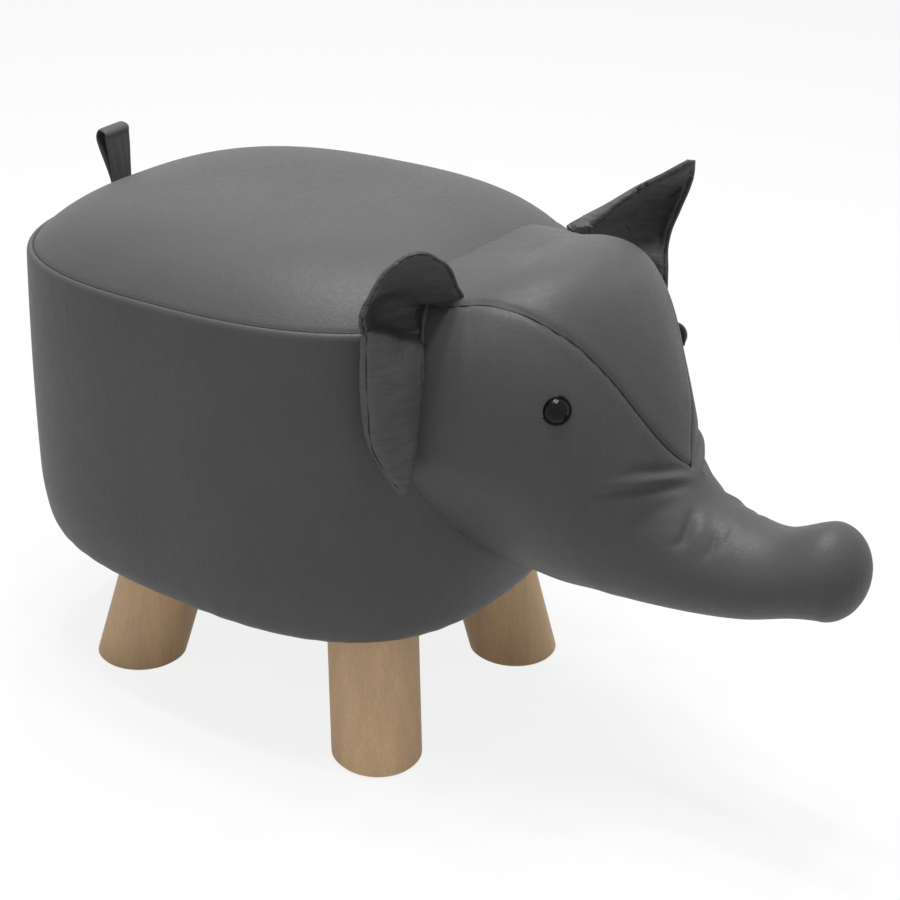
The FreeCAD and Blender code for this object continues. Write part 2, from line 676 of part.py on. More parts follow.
def collect_seat(pieces):
    """Everything from the floor to the top of the seat."""
    pieces["seat_top_panel"], band = seat_covers()
    foam, padding = seat_padding()
    base_board, top_board, hoop, posts = seat_frame()
    screws = board_screws(posts)
    staples = dust_cover_staples()
    cover = dust_cover()
    bolts = []
    nuts = []
    for end_name, front in (("front", 1), ("rear", -1)):
        for side_name, side in SIDES.items():
            leg, pad, bolt, nut = leg_set(front, side)
            clear = leg_cylinder(front, side, LEG_DIAMETER / 2 + LEG_HOLE_GAP, UNDERSIDE_HEIGHT)
            hole = clear.common(floor_slab(0, UNDERSIDE_HEIGHT + SKIN_THICKNESS))
            cover = cover.cut(hole)
            band = band.cut(hole)
            base_board = base_board.cut(tee_nut_pocket(front, side))
            pieces["leg_" + end_name + "_" + side_name] = leg
            pieces["foot_pad_" + end_name + "_" + side_name] = pad
            bolts.append(bolt)
            nuts.append(nut)
    tools = Part.makeCompound(staples)
    fasteners = Part.makeCompound(screws)
    pieces["seat_side_band"] = band.cut(tools)
    pieces["dust_cover"] = cover.cut(tools)
    pieces["base_board"] = base_board.cut(tools).cut(fasteners)
    pieces["top_board"] = top_board.cut(fasteners)
    pieces["frame_posts"] = Part.makeCompound([post.cut(fasteners) for post in posts])
    pieces["wall_hoop"] = hoop
    pieces["crown_foam"] = foam
    pieces["side_padding"] = padding
    pieces["board_screws"] = fasteners
    pieces["dust_cover_staples"] = tools
    pieces["hanger_bolts"] = Part.makeCompound(bolts)
    pieces["tee_nuts"] = Part.makeCompound(nuts)


def collect_head(pieces):
    """Head, trunk, eyes and ears."""
    outer, cover, panel, head, trunk, eyes, washers = head_pieces()
    pieces["face_cover"] = cover
    pieces["forehead_panel"] = panel
    pieces["head_stuffing"] = head
    pieces["trunk_stuffing"] = trunk
    pieces["eye_washers"] = Part.makeCompound(washers)
    for name in SIDES:
        pieces[name + "_eye"] = eyes[name]
        front, back, root = ear_pieces(name, outer)
        pieces[name + "_ear_front"] = front
        pieces[name + "_ear_back"] = back
        pieces[name + "_ear_root"] = root


def whole_box(pieces):
    box = FreeCAD.BoundBox()
    for shape in pieces.values():
        box.add(shape.optimalBoundingBox(False, False))
    return box


def print_joints(move):
    """Where the ears and the tail turn, for the part's record."""
    for name in SIDES:
        low, high = ear_fold(name)
        print(name, "ear fold", (low + high) * 0.5 + move, (high - low).normalize())
    print("tail root", tail_root() + move)


def main():
    pieces = {}
    collect_seat(pieces)
    collect_head(pieces)
    pieces["tail_loop"] = tail_loop()
    box = whole_box(pieces)
    move = V(-(box.XMin + box.XMax) / 2, -(box.YMin + box.YMax) / 2, -box.ZMin)
    for name, shape in pieces.items():
        shape.translate(move)
        shape.exportStep("parts/" + name + ".step")
    print("moved by", move, "size", box.XLength, box.YLength, box.ZLength)
    print_joints(move)


main()
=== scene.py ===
import math

import bpy
import numpy as np
from mathutils import Matrix, Vector
from mathutils.bvhtree import BVHTree

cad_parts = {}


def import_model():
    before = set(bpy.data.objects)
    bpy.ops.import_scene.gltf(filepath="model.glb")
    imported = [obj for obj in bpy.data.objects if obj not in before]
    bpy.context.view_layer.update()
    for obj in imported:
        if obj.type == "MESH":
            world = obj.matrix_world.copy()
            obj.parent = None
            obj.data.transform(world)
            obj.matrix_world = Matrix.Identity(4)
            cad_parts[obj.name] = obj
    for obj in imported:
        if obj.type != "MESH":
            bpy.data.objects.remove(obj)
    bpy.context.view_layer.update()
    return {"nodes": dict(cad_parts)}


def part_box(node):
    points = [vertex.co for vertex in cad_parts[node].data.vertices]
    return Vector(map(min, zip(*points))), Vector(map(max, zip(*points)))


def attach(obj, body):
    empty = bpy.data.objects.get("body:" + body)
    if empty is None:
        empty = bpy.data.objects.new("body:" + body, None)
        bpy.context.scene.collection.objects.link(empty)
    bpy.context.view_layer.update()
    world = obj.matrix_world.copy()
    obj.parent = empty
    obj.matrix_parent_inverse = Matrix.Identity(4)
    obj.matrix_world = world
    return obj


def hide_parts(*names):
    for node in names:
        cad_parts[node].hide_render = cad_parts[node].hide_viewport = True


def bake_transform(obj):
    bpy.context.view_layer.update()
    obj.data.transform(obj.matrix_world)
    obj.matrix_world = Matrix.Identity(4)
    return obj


# Elephant foot stool. Lengths are in metres. X is forward along the trunk, Y is
# to the elephant's left, Z is up. Places on the head and the ears are measured
# from the floor point midway between the feet.

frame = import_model()

PADS = [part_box(name) for name in frame["nodes"] if name.startswith("foot_pad")]
FEET = sum(((low + high) / 2 for low, high in PADS), Vector()) / len(PADS)
FEET.z = 0
SIDES = {"left": 1, "right": -1}

# seat
TOP_LOW, TOP_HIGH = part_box("seat_top_panel")
SEAT_MIDDLE = (TOP_LOW + TOP_HIGH) / 2
HALF_LONG = (TOP_HIGH.x - TOP_LOW.x) / 2
HALF_WIDE = (TOP_HIGH.y - TOP_LOW.y) / 2
OUTLINE_POWER = 2.67
SEAM_SLOPE_SHARE = 0.048
SEAM_HEIGHT = TOP_LOW.z + SEAM_SLOPE_SHARE * (HALF_LONG + FEET.x - SEAT_MIDDLE.x)
CROWN_HEIGHT = 0.0326
CROWN_POWER = 4.9
LOWER_EDGE_HEIGHT = 0.053
LOWER_EDGE_INSET = 0.0105
TURNED_EDGE = 0.026
SHOULDER_INSET = 0.0034
SHOULDER_DROP = 0.0062
SHOULDER_POWER = 2.5
SEAM_SHARE = 1 - SHOULDER_INSET / HALF_WIDE
SEAM_SINK = 0.0004
SEAM_DEPTH = 0.0006
TOP_GROOVE = 0.001  # half widths of the seam's groove, above and below it
SIDE_GROOVE = 0.0009
THREAD_INSET = 0.0003
THREAD_SINK = 0.0004
TOP_SKIRT = 0.006
TOP_SHARES = np.concatenate([np.linspace(0.02, 0.9, 36), np.linspace(0.912, 0.955, 6),
                             np.linspace(0.958, SEAM_SHARE, 14)])
WALL_PUFF = 0.0012
PADDING = 0.013
PADDING_DROP = 0.004
COVER = 0.0012
AROUND = 300
# shares of the lower edge's inset by shares of its height
LOWER_EDGE = ((1.0, 0.0), (0.72, 0.05), (0.52, 0.12), (0.36, 0.22), (0.24, 0.35), (0.13, 0.5),
              (0.06, 0.65), (0.02, 0.82), (0.0, 1.0))
LOWER_ROWS = 26
# heights of the cover's small waves, and how far they reach
TOP_WAVE = 0.00014
TOP_WAVE_REACH = 0.004
SHOULDER_WAVE = 0.00012
EDGE_WAVE = 0.0003
EDGE_WAVE_REACH = 0.008

# head and trunk
HEAD_REAR = 0.09
HEAD_REACH = 0.26
HEAD_UNDERSIDE = 0.115
HEAD_HEIGHT = 0.205
HEAD_WIDTH = 0.186
TRUNK_TIP = 0.0222  # length of the rounded tip
# forward and height of the top, forward and height of the bottom, width, and squareness above
# and below, all but the squareness as shares
HEAD_STATION_SHARES = (
    (0.04, 0.941, 0.03, 0.015, 0.99, 4.2, 1.4),
    (0.19, 0.962, 0.108, 0.005, 1.0, 3.2, 1.4),
    (0.27, 0.99, 0.177, 0.02, 0.97, 2.95, 1.45),
    (0.335, 0.995, 0.27, 0.02, 0.915, 2.8, 1.5),
    (0.396, 0.97, 0.373, 0.02, 0.84, 2.45, 1.6),
    (0.45, 0.917, 0.45, 0.03, 0.72, 2.1, 1.7),
    (0.5, 0.824, 0.485, 0.03, 0.59, 2.0, 1.8),
    (0.554, 0.678, 0.515, 0.035, 0.485, 2.0, 1.9),
    (0.596, 0.522, 0.57, 0.045, 0.41, 2.0, 2.0),
    (0.658, 0.42, 0.673, 0.065, 0.365, 2.0, 2.0),
    (0.742, 0.38, 0.796, 0.1, 0.335, 2.0, 2.0),
    (0.838, 0.376, 0.9, 0.149, 0.29, 2.0, 2.0),
    (0.945, 0.438, 0.955, 0.166, 0.285, 2.0, 2.0),
)
# how far along the tip, and how wide there
TIP_SHARES = ((0.2, 0.98), (0.4, 0.917), (0.6, 0.8), (0.78, 0.626), (0.92, 0.39), (0.985, 0.17))
HEAD_ROWS = 270
HEAD_COLUMNS = 280
# forward, sideways and height of the brow seam on one side
BROW_SEAM = (
    (0.108, 0.069, 0.29), (0.1185, 0.0705, 0.2945), (0.1303, 0.0695, 0.2984),
    (0.1397, 0.066, 0.3006), (0.152, 0.064, 0.3034), (0.1646, 0.0633, 0.3039),
    (0.1776, 0.0605, 0.302), (0.1893, 0.0563, 0.2966), (0.1998, 0.0497, 0.2891),
    (0.2103, 0.0425, 0.2775), (0.2195, 0.0355, 0.2648), (0.2292, 0.0282, 0.2496),
    (0.238, 0.0193, 0.2339), (0.2453, 0.008, 0.2203), (0.25, 0.0, 0.213),
)
# depth, width and line of each fold of the cover where the trunk leaves the face
FOLDS = (
    (0.0018, 0.0026, (0.252, 0.004, 0.211), (0.248, 0.01, 0.214), (0.243, 0.021, 0.216),
     (0.236, 0.034, 0.219), (0.23, 0.042, 0.218)),
    (0.0024, 0.003, (0.253, 0.013, 0.207), (0.247, 0.023, 0.208), (0.24, 0.033, 0.208),
     (0.231, 0.043, 0.208), (0.222, 0.051, 0.206), (0.218, 0.055, 0.205)),
    (-0.002, 0.0036, (0.252, 0.006, 0.209), (0.244, 0.024, 0.212), (0.234, 0.039, 0.212),
     (0.224, 0.049, 0.211)),
    (0.0018, 0.0028, (0.262, 0.019, 0.194), (0.263, 0.024, 0.189), (0.263, 0.029, 0.183),
     (0.259, 0.032, 0.18)),
    (0.0014, 0.0026, (0.278, 0.02, 0.188), (0.279, 0.025, 0.182), (0.277, 0.029, 0.177)),
    (0.0008, 0.0022, (0.285, 0.012, 0.191), (0.285, 0.019, 0.187), (0.284, 0.025, 0.182)),
    (0.0011, 0.004, (0.24, 0.037, 0.191), (0.246, 0.031, 0.196), (0.252, 0.024, 0.199)),
    (0.0009, 0.004, (0.228, 0.045, 0.182), (0.241, 0.038, 0.188), (0.252, 0.03, 0.191)),
    (-0.0018, 0.0044, (0.268, 0.014, 0.199), (0.27, 0.022, 0.191), (0.27, 0.029, 0.182)),
    (0.0008, 0.003, (0.144, 0.066, 0.295), (0.151, 0.072, 0.291), (0.157, 0.078, 0.282)),
    (0.0007, 0.0014, (0.345, 0.009, 0.204), (0.351, 0.005, 0.201), (0.354, 0.006, 0.196)),
)
# brow seam: the groove, and the fuller cover beside it
SEAM_WIDTH = 0.0011
SEAM_PINCH = 0.0011
SEAM_PUFF = 0.0003
PUFF_PLACE = 0.005
PUFF_WIDTH = 0.004
THREAD_RADIUS = 0.00045
FOREHEAD_DEPTH = 0.02  # how far below the seam the forehead's grain still reaches
# where the head meets the seat: how far it is drawn in, its gathers and their reach
JOIN_TUCK = 0.0014
JOIN_GATHER = 0.0004
JOIN_REACH = 0.004

# ears: rows from the tip to the top, each five points from the inner edge to the outer rim
RIGHT_EAR = (
    ((0.132, 0.1045, 0.2025), (0.132, 0.106, 0.202), (0.1315, 0.107, 0.2018),
     (0.131, 0.1082, 0.202), (0.13, 0.1095, 0.203)),
    ((0.1335, 0.1, 0.214), (0.1335, 0.104, 0.2145), (0.1315, 0.1085, 0.2155),
     (0.128, 0.112, 0.2165), (0.1225, 0.115, 0.2175)),
    ((0.133, 0.0962, 0.235), (0.1332, 0.103, 0.235), (0.131, 0.11, 0.235),
     (0.127, 0.116, 0.235), (0.1185, 0.122, 0.235)),
    ((0.133, 0.094, 0.255), (0.133, 0.102, 0.255), (0.1308, 0.111, 0.254),
     (0.1263, 0.1193, 0.253), (0.117, 0.125, 0.252)),
    ((0.132, 0.0915, 0.275), (0.131, 0.101, 0.275), (0.128, 0.111, 0.2745),
     (0.124, 0.12, 0.274), (0.117, 0.127, 0.273)),
    ((0.129, 0.087, 0.279), (0.128, 0.095, 0.2835), (0.125, 0.104, 0.287),
     (0.1215, 0.1145, 0.292), (0.118, 0.128, 0.295)),
    ((0.1225, 0.079, 0.285), (0.114, 0.087, 0.2875), (0.108, 0.098, 0.2905),
     (0.11, 0.11, 0.295), (0.119, 0.1285, 0.2995)),
    ((0.118, 0.066, 0.296), (0.11, 0.079, 0.2965), (0.1035, 0.093, 0.2985),
     (0.106, 0.108, 0.302), (0.1185, 0.129, 0.306)),
    ((0.135, 0.0605, 0.2995), (0.117, 0.073, 0.3005), (0.105, 0.09, 0.304),
     (0.1075, 0.1075, 0.308), (0.12, 0.129, 0.311)),
    ((0.135, 0.0655, 0.3115), (0.1215, 0.0755, 0.3095), (0.1125, 0.091, 0.311),
     (0.1135, 0.107, 0.3145), (0.1215, 0.127, 0.318)),
    ((0.137, 0.076, 0.325), (0.127, 0.083, 0.322), (0.1195, 0.095, 0.323),
     (0.1195, 0.108, 0.326), (0.1255, 0.1215, 0.3295)),
    ((0.1365, 0.088, 0.334), (0.1315, 0.092, 0.3325), (0.1275, 0.1, 0.333),
     (0.1275, 0.108, 0.3345), (0.129, 0.114, 0.336)),
    ((0.1355, 0.095, 0.3385), (0.135, 0.0985, 0.3395), (0.1345, 0.102, 0.3403),
     (0.1335, 0.1055, 0.3403), (0.132, 0.109, 0.3395)),
)
LEFT_EAR = (
    ((0.151, 0.1005, 0.202), (0.1525, 0.101, 0.202), (0.154, 0.1015, 0.202),
     (0.155, 0.102, 0.202), (0.156, 0.1025, 0.202)),
    ((0.143, 0.0995, 0.218), (0.148, 0.1025, 0.218), (0.153, 0.104, 0.218),
     (0.158, 0.1045, 0.218), (0.163, 0.104, 0.218)),
    ((0.135, 0.098, 0.238), (0.143, 0.104, 0.238), (0.152, 0.107, 0.238),
     (0.161, 0.108, 0.238), (0.169, 0.1065, 0.238)),
    ((0.1327, 0.094, 0.26), (0.1435, 0.1, 0.2605), (0.154, 0.1035, 0.261),
     (0.164, 0.1055, 0.261), (0.1715, 0.106, 0.26)),
    ((0.1327, 0.086, 0.276), (0.1425, 0.0965, 0.278), (0.1525, 0.101, 0.281),
     (0.1635, 0.104, 0.281), (0.171, 0.1055, 0.2765)),
    ((0.1327, 0.078, 0.288), (0.1385, 0.096, 0.289), (0.147, 0.109, 0.291),
     (0.159, 0.113, 0.292), (0.1682, 0.109, 0.289)),
    ((0.129, 0.064, 0.301), (0.1365, 0.089, 0.302), (0.145, 0.108, 0.303),
     (0.158, 0.115, 0.303), (0.1693, 0.1105, 0.301)),
    ((0.126, 0.061, 0.307), (0.139, 0.085, 0.309), (0.148, 0.108, 0.31),
     (0.16, 0.1155, 0.3095), (0.1718, 0.1112, 0.309)),
    ((0.139, 0.0745, 0.316), (0.144, 0.091, 0.316), (0.152, 0.108, 0.316),
     (0.163, 0.115, 0.316), (0.174, 0.1115, 0.316)),
    ((0.152, 0.0895, 0.327), (0.156, 0.099, 0.327), (0.163, 0.1085, 0.327),
     (0.17, 0.1135, 0.327), (0.1775, 0.112, 0.327)),
    ((0.166, 0.0985, 0.337), (0.169, 0.103, 0.337), (0.173, 0.108, 0.337),
     (0.177, 0.1115, 0.337), (0.18, 0.111, 0.337)),
    ((0.177, 0.105, 0.346), (0.178, 0.106, 0.346), (0.179, 0.107, 0.346),
     (0.18, 0.108, 0.346), (0.181, 0.1085, 0.346)),
)
EAR_NETS = {"left": LEFT_EAR, "right": RIGHT_EAR}
# place round the edge, counted in sides from the tip's inner corner, then the width and the
# depth of the turned-back rim and the inset of its stitches
EAR_RIMS = {
    "right": ((0.0, 0.0022, 0.0008, 0.0018), (0.5, 0.003, 0.0016, 0.0024),
              (1.0, 0.005, 0.0045, 0.0022), (1.15, 0.006, 0.0065, 0.0018),
              (1.28, 0.008, 0.01, 0.0042), (1.45, 0.0085, 0.011, 0.004),
              (1.51, 0.0085, 0.011, 0.0053), (1.665, 0.0075, 0.0095, 0.0055),
              (1.76, 0.006, 0.007, 0.0047), (1.85, 0.0042, 0.0045, 0.003),
              (1.95, 0.0028, 0.0024, 0.002), (2.5, 0.0024, 0.0014, 0.0018),
              (3.0, 0.0024, 0.0012, 0.0018), (4.0, 0.0022, 0.0008, 0.0018)),
    "left": ((0.0, 0.0025, 0.001, 0.002), (0.9, 0.0025, 0.001, 0.002),
             (1.3, 0.004, 0.0026, 0.0026), (1.9, 0.005, 0.0034, 0.003),
             (2.0, 0.0035, 0.002, 0.0027), (3.0, 0.0027, 0.003, 0.0027),
             (3.05, 0.0031, 0.004, 0.0031), (3.09, 0.004, 0.0055, 0.004),
             (3.12, 0.0051, 0.0072, 0.0051), (3.15, 0.0072, 0.01, 0.0072),
             (3.19, 0.0081, 0.0115, 0.0081), (3.22, 0.009, 0.013, 0.009),
             (3.25, 0.0108, 0.014, 0.0108), (3.28, 0.013, 0.0125, 0.013),
             (3.316, 0.015, 0.008, 0.015), (3.36, 0.012, 0.003, 0.012),
             (3.44, 0.003, 0.0005, 0.002), (4.0, 0.0025, 0.0005, 0.002)),
}
# directions in which the rims turn back
EAR_TURNS = {"left": (-0.449, 0.832, -0.326), "right": (-0.533, 0.743, -0.405)}
# parts of the edge that carry stitches
EAR_STITCHED = {"left": (0.3, 3.28), "right": (0.4, 3.42)}
EAR_ROOTS = {
    "right": ((0.137, 0.06, 0.2985), (0.126, 0.0615, 0.2965), (0.119, 0.0655, 0.2945),
              (0.124, 0.08, 0.285), (0.13, 0.089, 0.268), (0.132, 0.092, 0.25)),
    "left": ((0.125, 0.06, 0.3035), (0.131, 0.067, 0.3005), (0.133, 0.078, 0.288),
             (0.133, 0.087, 0.272), (0.133, 0.093, 0.252)),
}
EAR_THICKNESS = 0.003
EAR_AROUND = 340
EAR_RINGS = np.concatenate([np.linspace(0.04, 0.7, 20),
                            1 - 0.3 * (1 - np.linspace(0, 1, 31)[1:]) ** 1.6])
EAR_TURN_POWER = 1.35
STITCH_LENGTH = 0.0034
STITCH_GAP = 0.0006
STITCH_RADIUS = 0.00036
STITCH_GROOVE = (0.0006, 0.0008)  # depth and half width
STITCH_RIDGE = (0.0003, 0.002, 0.0012)  # height, place past the stitches and half width
WIDEST_GROOVE = 0.0125  # no groove where the stitches lie further in
# radius of the welt at the ear's root, and how much its pleats swell it
ROOT_RADIUS = 0.0015
ROOT_PLEAT = 0.22

# tail strap: forward and height along its loop, from the front of the seam round to the rear
TAIL_PATH = (
    (-0.1892, 0.2716), (-0.19, 0.283), (-0.191, 0.295), (-0.192, 0.3045), (-0.1922, 0.3085),
    (-0.1948, 0.3101), (-0.1984, 0.3098), (-0.2002, 0.3048), (-0.1982, 0.2975), (-0.195, 0.289),
    (-0.1916, 0.279), (-0.19, 0.2716),
)
TAIL_SIDE = 0.0222
TAIL_WIDTH = 0.0186
TAIL_THICKNESS = 0.0018
TAIL_SKEW = 0.05
TAIL_TILT = 0.06
TAIL_COLUMNS = 24
TAIL_CREASE = 0.0004
TAIL_FOLD = 0.0006

# colours, as red, green and blue
LEATHER = (0.079, 0.079, 0.079)
THREAD = (0.012, 0.012, 0.013)
EYE = (0.004, 0.003, 0.003)

# finishes of the solids that stay, by the start of their names; a later match wins
WOOD_FINISHES = {
    "leg_": ("leg_wood_grain", (0.69, 0.465, 0.272)),
    "base_board": ("plywood_grain", (0.55, 0.38, 0.22)),
    "top_board": ("plywood_grain_top", (0.55, 0.38, 0.22)),
    "frame_posts": ("softwood_grain", (0.62, 0.44, 0.26)),
}
# colour, roughness, scale of the grain and, on metal, how metallic
PLAIN_FINISHES = {
    "foot_pad": ("felt_pad", (0.05, 0.045, 0.04), 0.9, 1500),
    "dust_cover": ("nonwoven_black", (0.02, 0.02, 0.02), 0.85, 1800),
    "dust_cover_staples": ("staple_steel", (0.6, 0.6, 0.6), 0.35, 800, 1.0),
    "wall_hoop": ("hardboard_brown", (0.20, 0.12, 0.07), 0.7, 600),
    "board_screws": ("screw_steel", (0.55, 0.52, 0.42), 0.35, 900, 1.0),
    "tee_nuts": ("nut_steel", (0.6, 0.6, 0.58), 0.35, 900, 1.0),
    "hanger_bolts": ("bolt_steel", (0.6, 0.6, 0.58), 0.35, 900, 1.0),
    "eye_washers": ("washer_plastic_grey", (0.5, 0.5, 0.5), 0.45, 900),
}

# stage: nine lamps overhead, as the eye reflects them, a weak one beside, sky and floor
LAMP_PLACE = (-0.08, 0.0, 1.95)
LAMP_PITCH = 0.34
LAMP_TARGET = (0, 0, 0.2)
LAMP_SIZE = (0.14, 0.14)
LAMP_POWER = 4.4
FILL_PLACE = (-1.3, -1.5, 0.55)
FILL_TARGET = (0, 0, 0.15)
FILL_SIZE = (1.3, 0.9)
FILL_POWER = 0.8
WORLD_STRENGTH = 0.34
WHITE = (1, 1, 1, 1)
FLOOR_HALF = 30.0
FLOOR_HEIGHT = -0.0004
FLOOR_COLOUR = (0.72, 0.72, 0.72, 1)
FLOOR_GLOW = 1.06
FLOOR_GLOW_SHARE = 0.8

# camera, measured from the same floor point
CAMERA_PLACE = Vector((0.68142, -0.88547, 0.70192))
CAMERA_TARGET = Vector((0.08081, 0.01413, 0.165))
CAMERA_ROLL_DEG = 2.0346
CAMERA_LENS = 79.525


def add_object(name, data):
    """A new object in the scene."""
    made = bpy.data.objects.new(name, data)
    bpy.context.scene.collection.objects.link(made)
    return made


# meshes

def add_piece(name, points, faces, material, body=None, replaced=()):
    """A smooth piece that rides on a body, or on none."""
    mesh = bpy.data.meshes.new(name)
    mesh.from_pydata([tuple(point) for point in points], [], faces)
    mesh.update()
    mesh.polygons.foreach_set("use_smooth", [True] * len(mesh.polygons))
    piece = add_object(name, mesh)
    mesh.materials.append(material)
    if body:
        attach(piece, body)
    if replaced:
        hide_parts(*replaced)
    return piece


def grid_faces(rows, columns, closed_rows=False):
    """Faces of rows of points, each row a closed ring."""
    faces = []
    for row in range(rows if closed_rows else rows - 1):
        for column in range(columns):
            right = (column + 1) % columns
            above = (row + 1) % rows
            faces.append((row * columns + column, row * columns + right,
                          above * columns + right, above * columns + column))
    return faces


def capped(points, rows, columns, faces):
    """Close both ends of a tube of rows with a fan round the end row's middle."""
    first = points[:columns].mean(axis=0)
    last = points[-columns:].mean(axis=0)
    count = len(points)
    points = np.vstack([points, first, last])
    for column in range(columns):
        right = (column + 1) % columns
        faces.append((right, column, count))
        base = (rows - 1) * columns
        faces.append((base + column, base + right, count + 1))
    return points, faces


def between(share, low, low_slope, high, high_slope, step=1.0):
    """A cubic curve from low to high, a step apart, that leaves and arrives at the slopes."""
    return ((2 * share ** 3 - 3 * share ** 2 + 1) * low
            + (share ** 3 - 2 * share ** 2 + share) * step * low_slope
            + (3 * share ** 2 - 2 * share ** 3) * high
            + (share ** 3 - share ** 2) * step * high_slope)


def smooth_through(values, knots, places):
    """A smooth curve through the values at the knots, read at the places."""
    values = np.asarray(values, float)
    slopes = np.gradient(values, knots, axis=0)
    index = np.clip(np.searchsorted(knots, places, side="right") - 1, 0, len(knots) - 2)
    step = knots[index + 1] - knots[index]
    share = (places - knots[index]) / step
    shape = (-1,) + (1,) * (values.ndim - 1)
    share = share.reshape(shape)
    step = step.reshape(shape)
    return between(share, values[index], slopes[index], values[index + 1], slopes[index + 1], step)


def passed_length(line, extra=0.0):
    """How far along a line each of its points is, with the extra added to each step."""
    steps = np.linalg.norm(np.diff(line, axis=0), axis=1) + extra
    return np.concatenate([[0], np.cumsum(steps)])


def along_length(line, count):
    """Points at equal distances along a line."""
    line = np.asarray(line, float)
    length = passed_length(line)
    places = np.linspace(0, length[-1], count)
    columns = [np.interp(places, length, column) for column in line.T]
    return np.stack(columns, axis=1)


def smooth_line(points, count):
    """Points at equal distances along a smooth curve through the points given."""
    points = np.asarray(points, float)
    knots = np.arange(len(points))
    fine = smooth_through(points, knots, np.linspace(0, knots[-1], 20 * len(knots)))
    return along_length(fine, count)


def squared_off(wave, power):
    """A sine or cosine bent so that it draws a rounded square instead of a circle."""
    return np.sign(wave) * np.abs(wave) ** (2 / power)


def grid_normals(points):
    """Directions square to a grid of closed rows of points."""
    down = np.gradient(points, axis=0)
    across = np.roll(points, -1, axis=1) - np.roll(points, 1, axis=1)
    normals = np.cross(across, down)
    return normals / np.maximum(np.linalg.norm(normals, axis=2, keepdims=True), 1e-12)


def distance_to(points, line):
    """Distance of each point to a line of short runs, and how far along it is."""
    best = np.full(len(points), np.inf)
    place = np.zeros(len(points))
    start = 0
    for low, high in zip(line[:-1], line[1:]):
        run = high - low
        length = np.linalg.norm(run)
        share = np.clip((points - low) @ run / length ** 2, 0, 1)
        distance = np.linalg.norm(points - low - share[:, None] * run, axis=1)
        nearer = distance < best
        best = np.where(nearer, distance, best)
        place = np.where(nearer, start + share * length, place)
        start += length
    return best, place / start


def tube(line, radius, sides=6):
    """Points and faces of a thin round thread along a line."""
    line = np.asarray(line, float)
    ahead = np.gradient(line, axis=0)
    ahead /= np.linalg.norm(ahead, axis=1, keepdims=True)
    side = np.cross(ahead, np.where(np.abs(ahead[:, 2:]) < 0.9, [[0, 0, 1.0]], [[1.0, 0, 0]]))
    side /= np.linalg.norm(side, axis=1, keepdims=True)
    up = np.cross(side, ahead)
    angles = np.arange(sides) * 2 * math.pi / sides
    ring = radius * (np.cos(angles)[None, :, None] * side[:, None]
                     + np.sin(angles)[None, :, None] * up[:, None])
    points = (line[:, None] + ring).reshape(-1, 3)
    return capped(points, len(line), sides, grid_faces(len(line), sides))


def joined(parts):
    """Several sets of points and faces as one."""
    points, faces, start = [], [], 0
    for part_points, part_faces in parts:
        points.append(part_points)
        faces += [tuple(index + start for index in face) for face in part_faces]
        start += len(part_points)
    return np.vstack(points), faces


def stitches(line, normals):
    """Short threads along a line that rise in the middle of each stitch."""
    total = np.linalg.norm(np.diff(line, axis=0), axis=1).sum()
    count = max(2, int(total / (STITCH_LENGTH + STITCH_GAP)))
    steps = 8
    fine = along_length(np.hstack([line, normals]), count * steps + 1)
    parts = []
    for index in range(count):
        run = fine[index * steps:(index + 1) * steps]
        lift = STITCH_RADIUS * (1.2 * np.sin(np.linspace(0, math.pi, len(run)))[:, None] - 0.6)
        parts.append(tube(run[:, :3] + run[:, 3:] * lift, STITCH_RADIUS, sides=5))
    return joined(parts)


# materials

def new_material(name):
    """A material with its node tree and its shader."""
    material = bpy.data.materials.new(name)
    material.use_nodes = True
    return material, material.node_tree, material.node_tree.nodes["Principled BSDF"]


def texture_place(tree, stretch=(1, 1, 1)):
    """Texture coordinates fixed to the piece, scaled along each axis."""
    place = tree.nodes.new("ShaderNodeTexCoord")
    mapping = tree.nodes.new("ShaderNodeMapping")
    mapping.inputs["Scale"].default_value = stretch
    tree.links.new(place.outputs["Object"], mapping.inputs["Vector"])
    return mapping.outputs["Vector"]


def noise(tree, vector, scale, detail=4.0, roughness=0.55):
    """Uneven grey between 0 and 1."""
    texture = tree.nodes.new("ShaderNodeTexNoise")
    texture.inputs["Scale"].default_value = scale
    texture.inputs["Detail"].default_value = detail
    texture.inputs["Roughness"].default_value = roughness
    tree.links.new(vector, texture.inputs["Vector"])
    return texture.outputs["Fac"]


def ramp(tree, value, low, high, from_low=0.3, from_high=0.7):
    """Map a value onto a range of numbers."""
    reach = tree.nodes.new("ShaderNodeMapRange")
    reach.inputs["From Min"].default_value = from_low
    reach.inputs["From Max"].default_value = from_high
    reach.inputs["To Min"].default_value = low
    reach.inputs["To Max"].default_value = high
    tree.links.new(value, reach.inputs["Value"])
    return reach.outputs["Result"]


def scaled_colour(tree, colour, factor):
    """A colour made lighter and darker by a factor."""
    mix = tree.nodes.new("ShaderNodeVectorMath")
    mix.operation = "SCALE"
    mix.inputs[0].default_value = colour
    tree.links.new(factor, mix.inputs["Scale"])
    return mix.outputs["Vector"]


def math_node(tree, operation, first, second):
    """One operation on two values, each a number or another node's output."""
    node = tree.nodes.new("ShaderNodeMath")
    node.operation = operation
    for socket, value in zip(node.inputs, (first, second)):
        if isinstance(value, (int, float)):
            socket.default_value = value
        else:
            tree.links.new(value, socket)
    return node.outputs[0]


def bump(tree, height, distance, strength, before=None):
    """Fine relief, on top of an earlier one where there is one."""
    node = tree.nodes.new("ShaderNodeBump")
    node.inputs["Distance"].default_value = distance
    node.inputs["Strength"].default_value = strength
    tree.links.new(height, node.inputs["Height"])
    if before is not None:
        tree.links.new(before, node.inputs["Normal"])
    return node.outputs["Normal"]


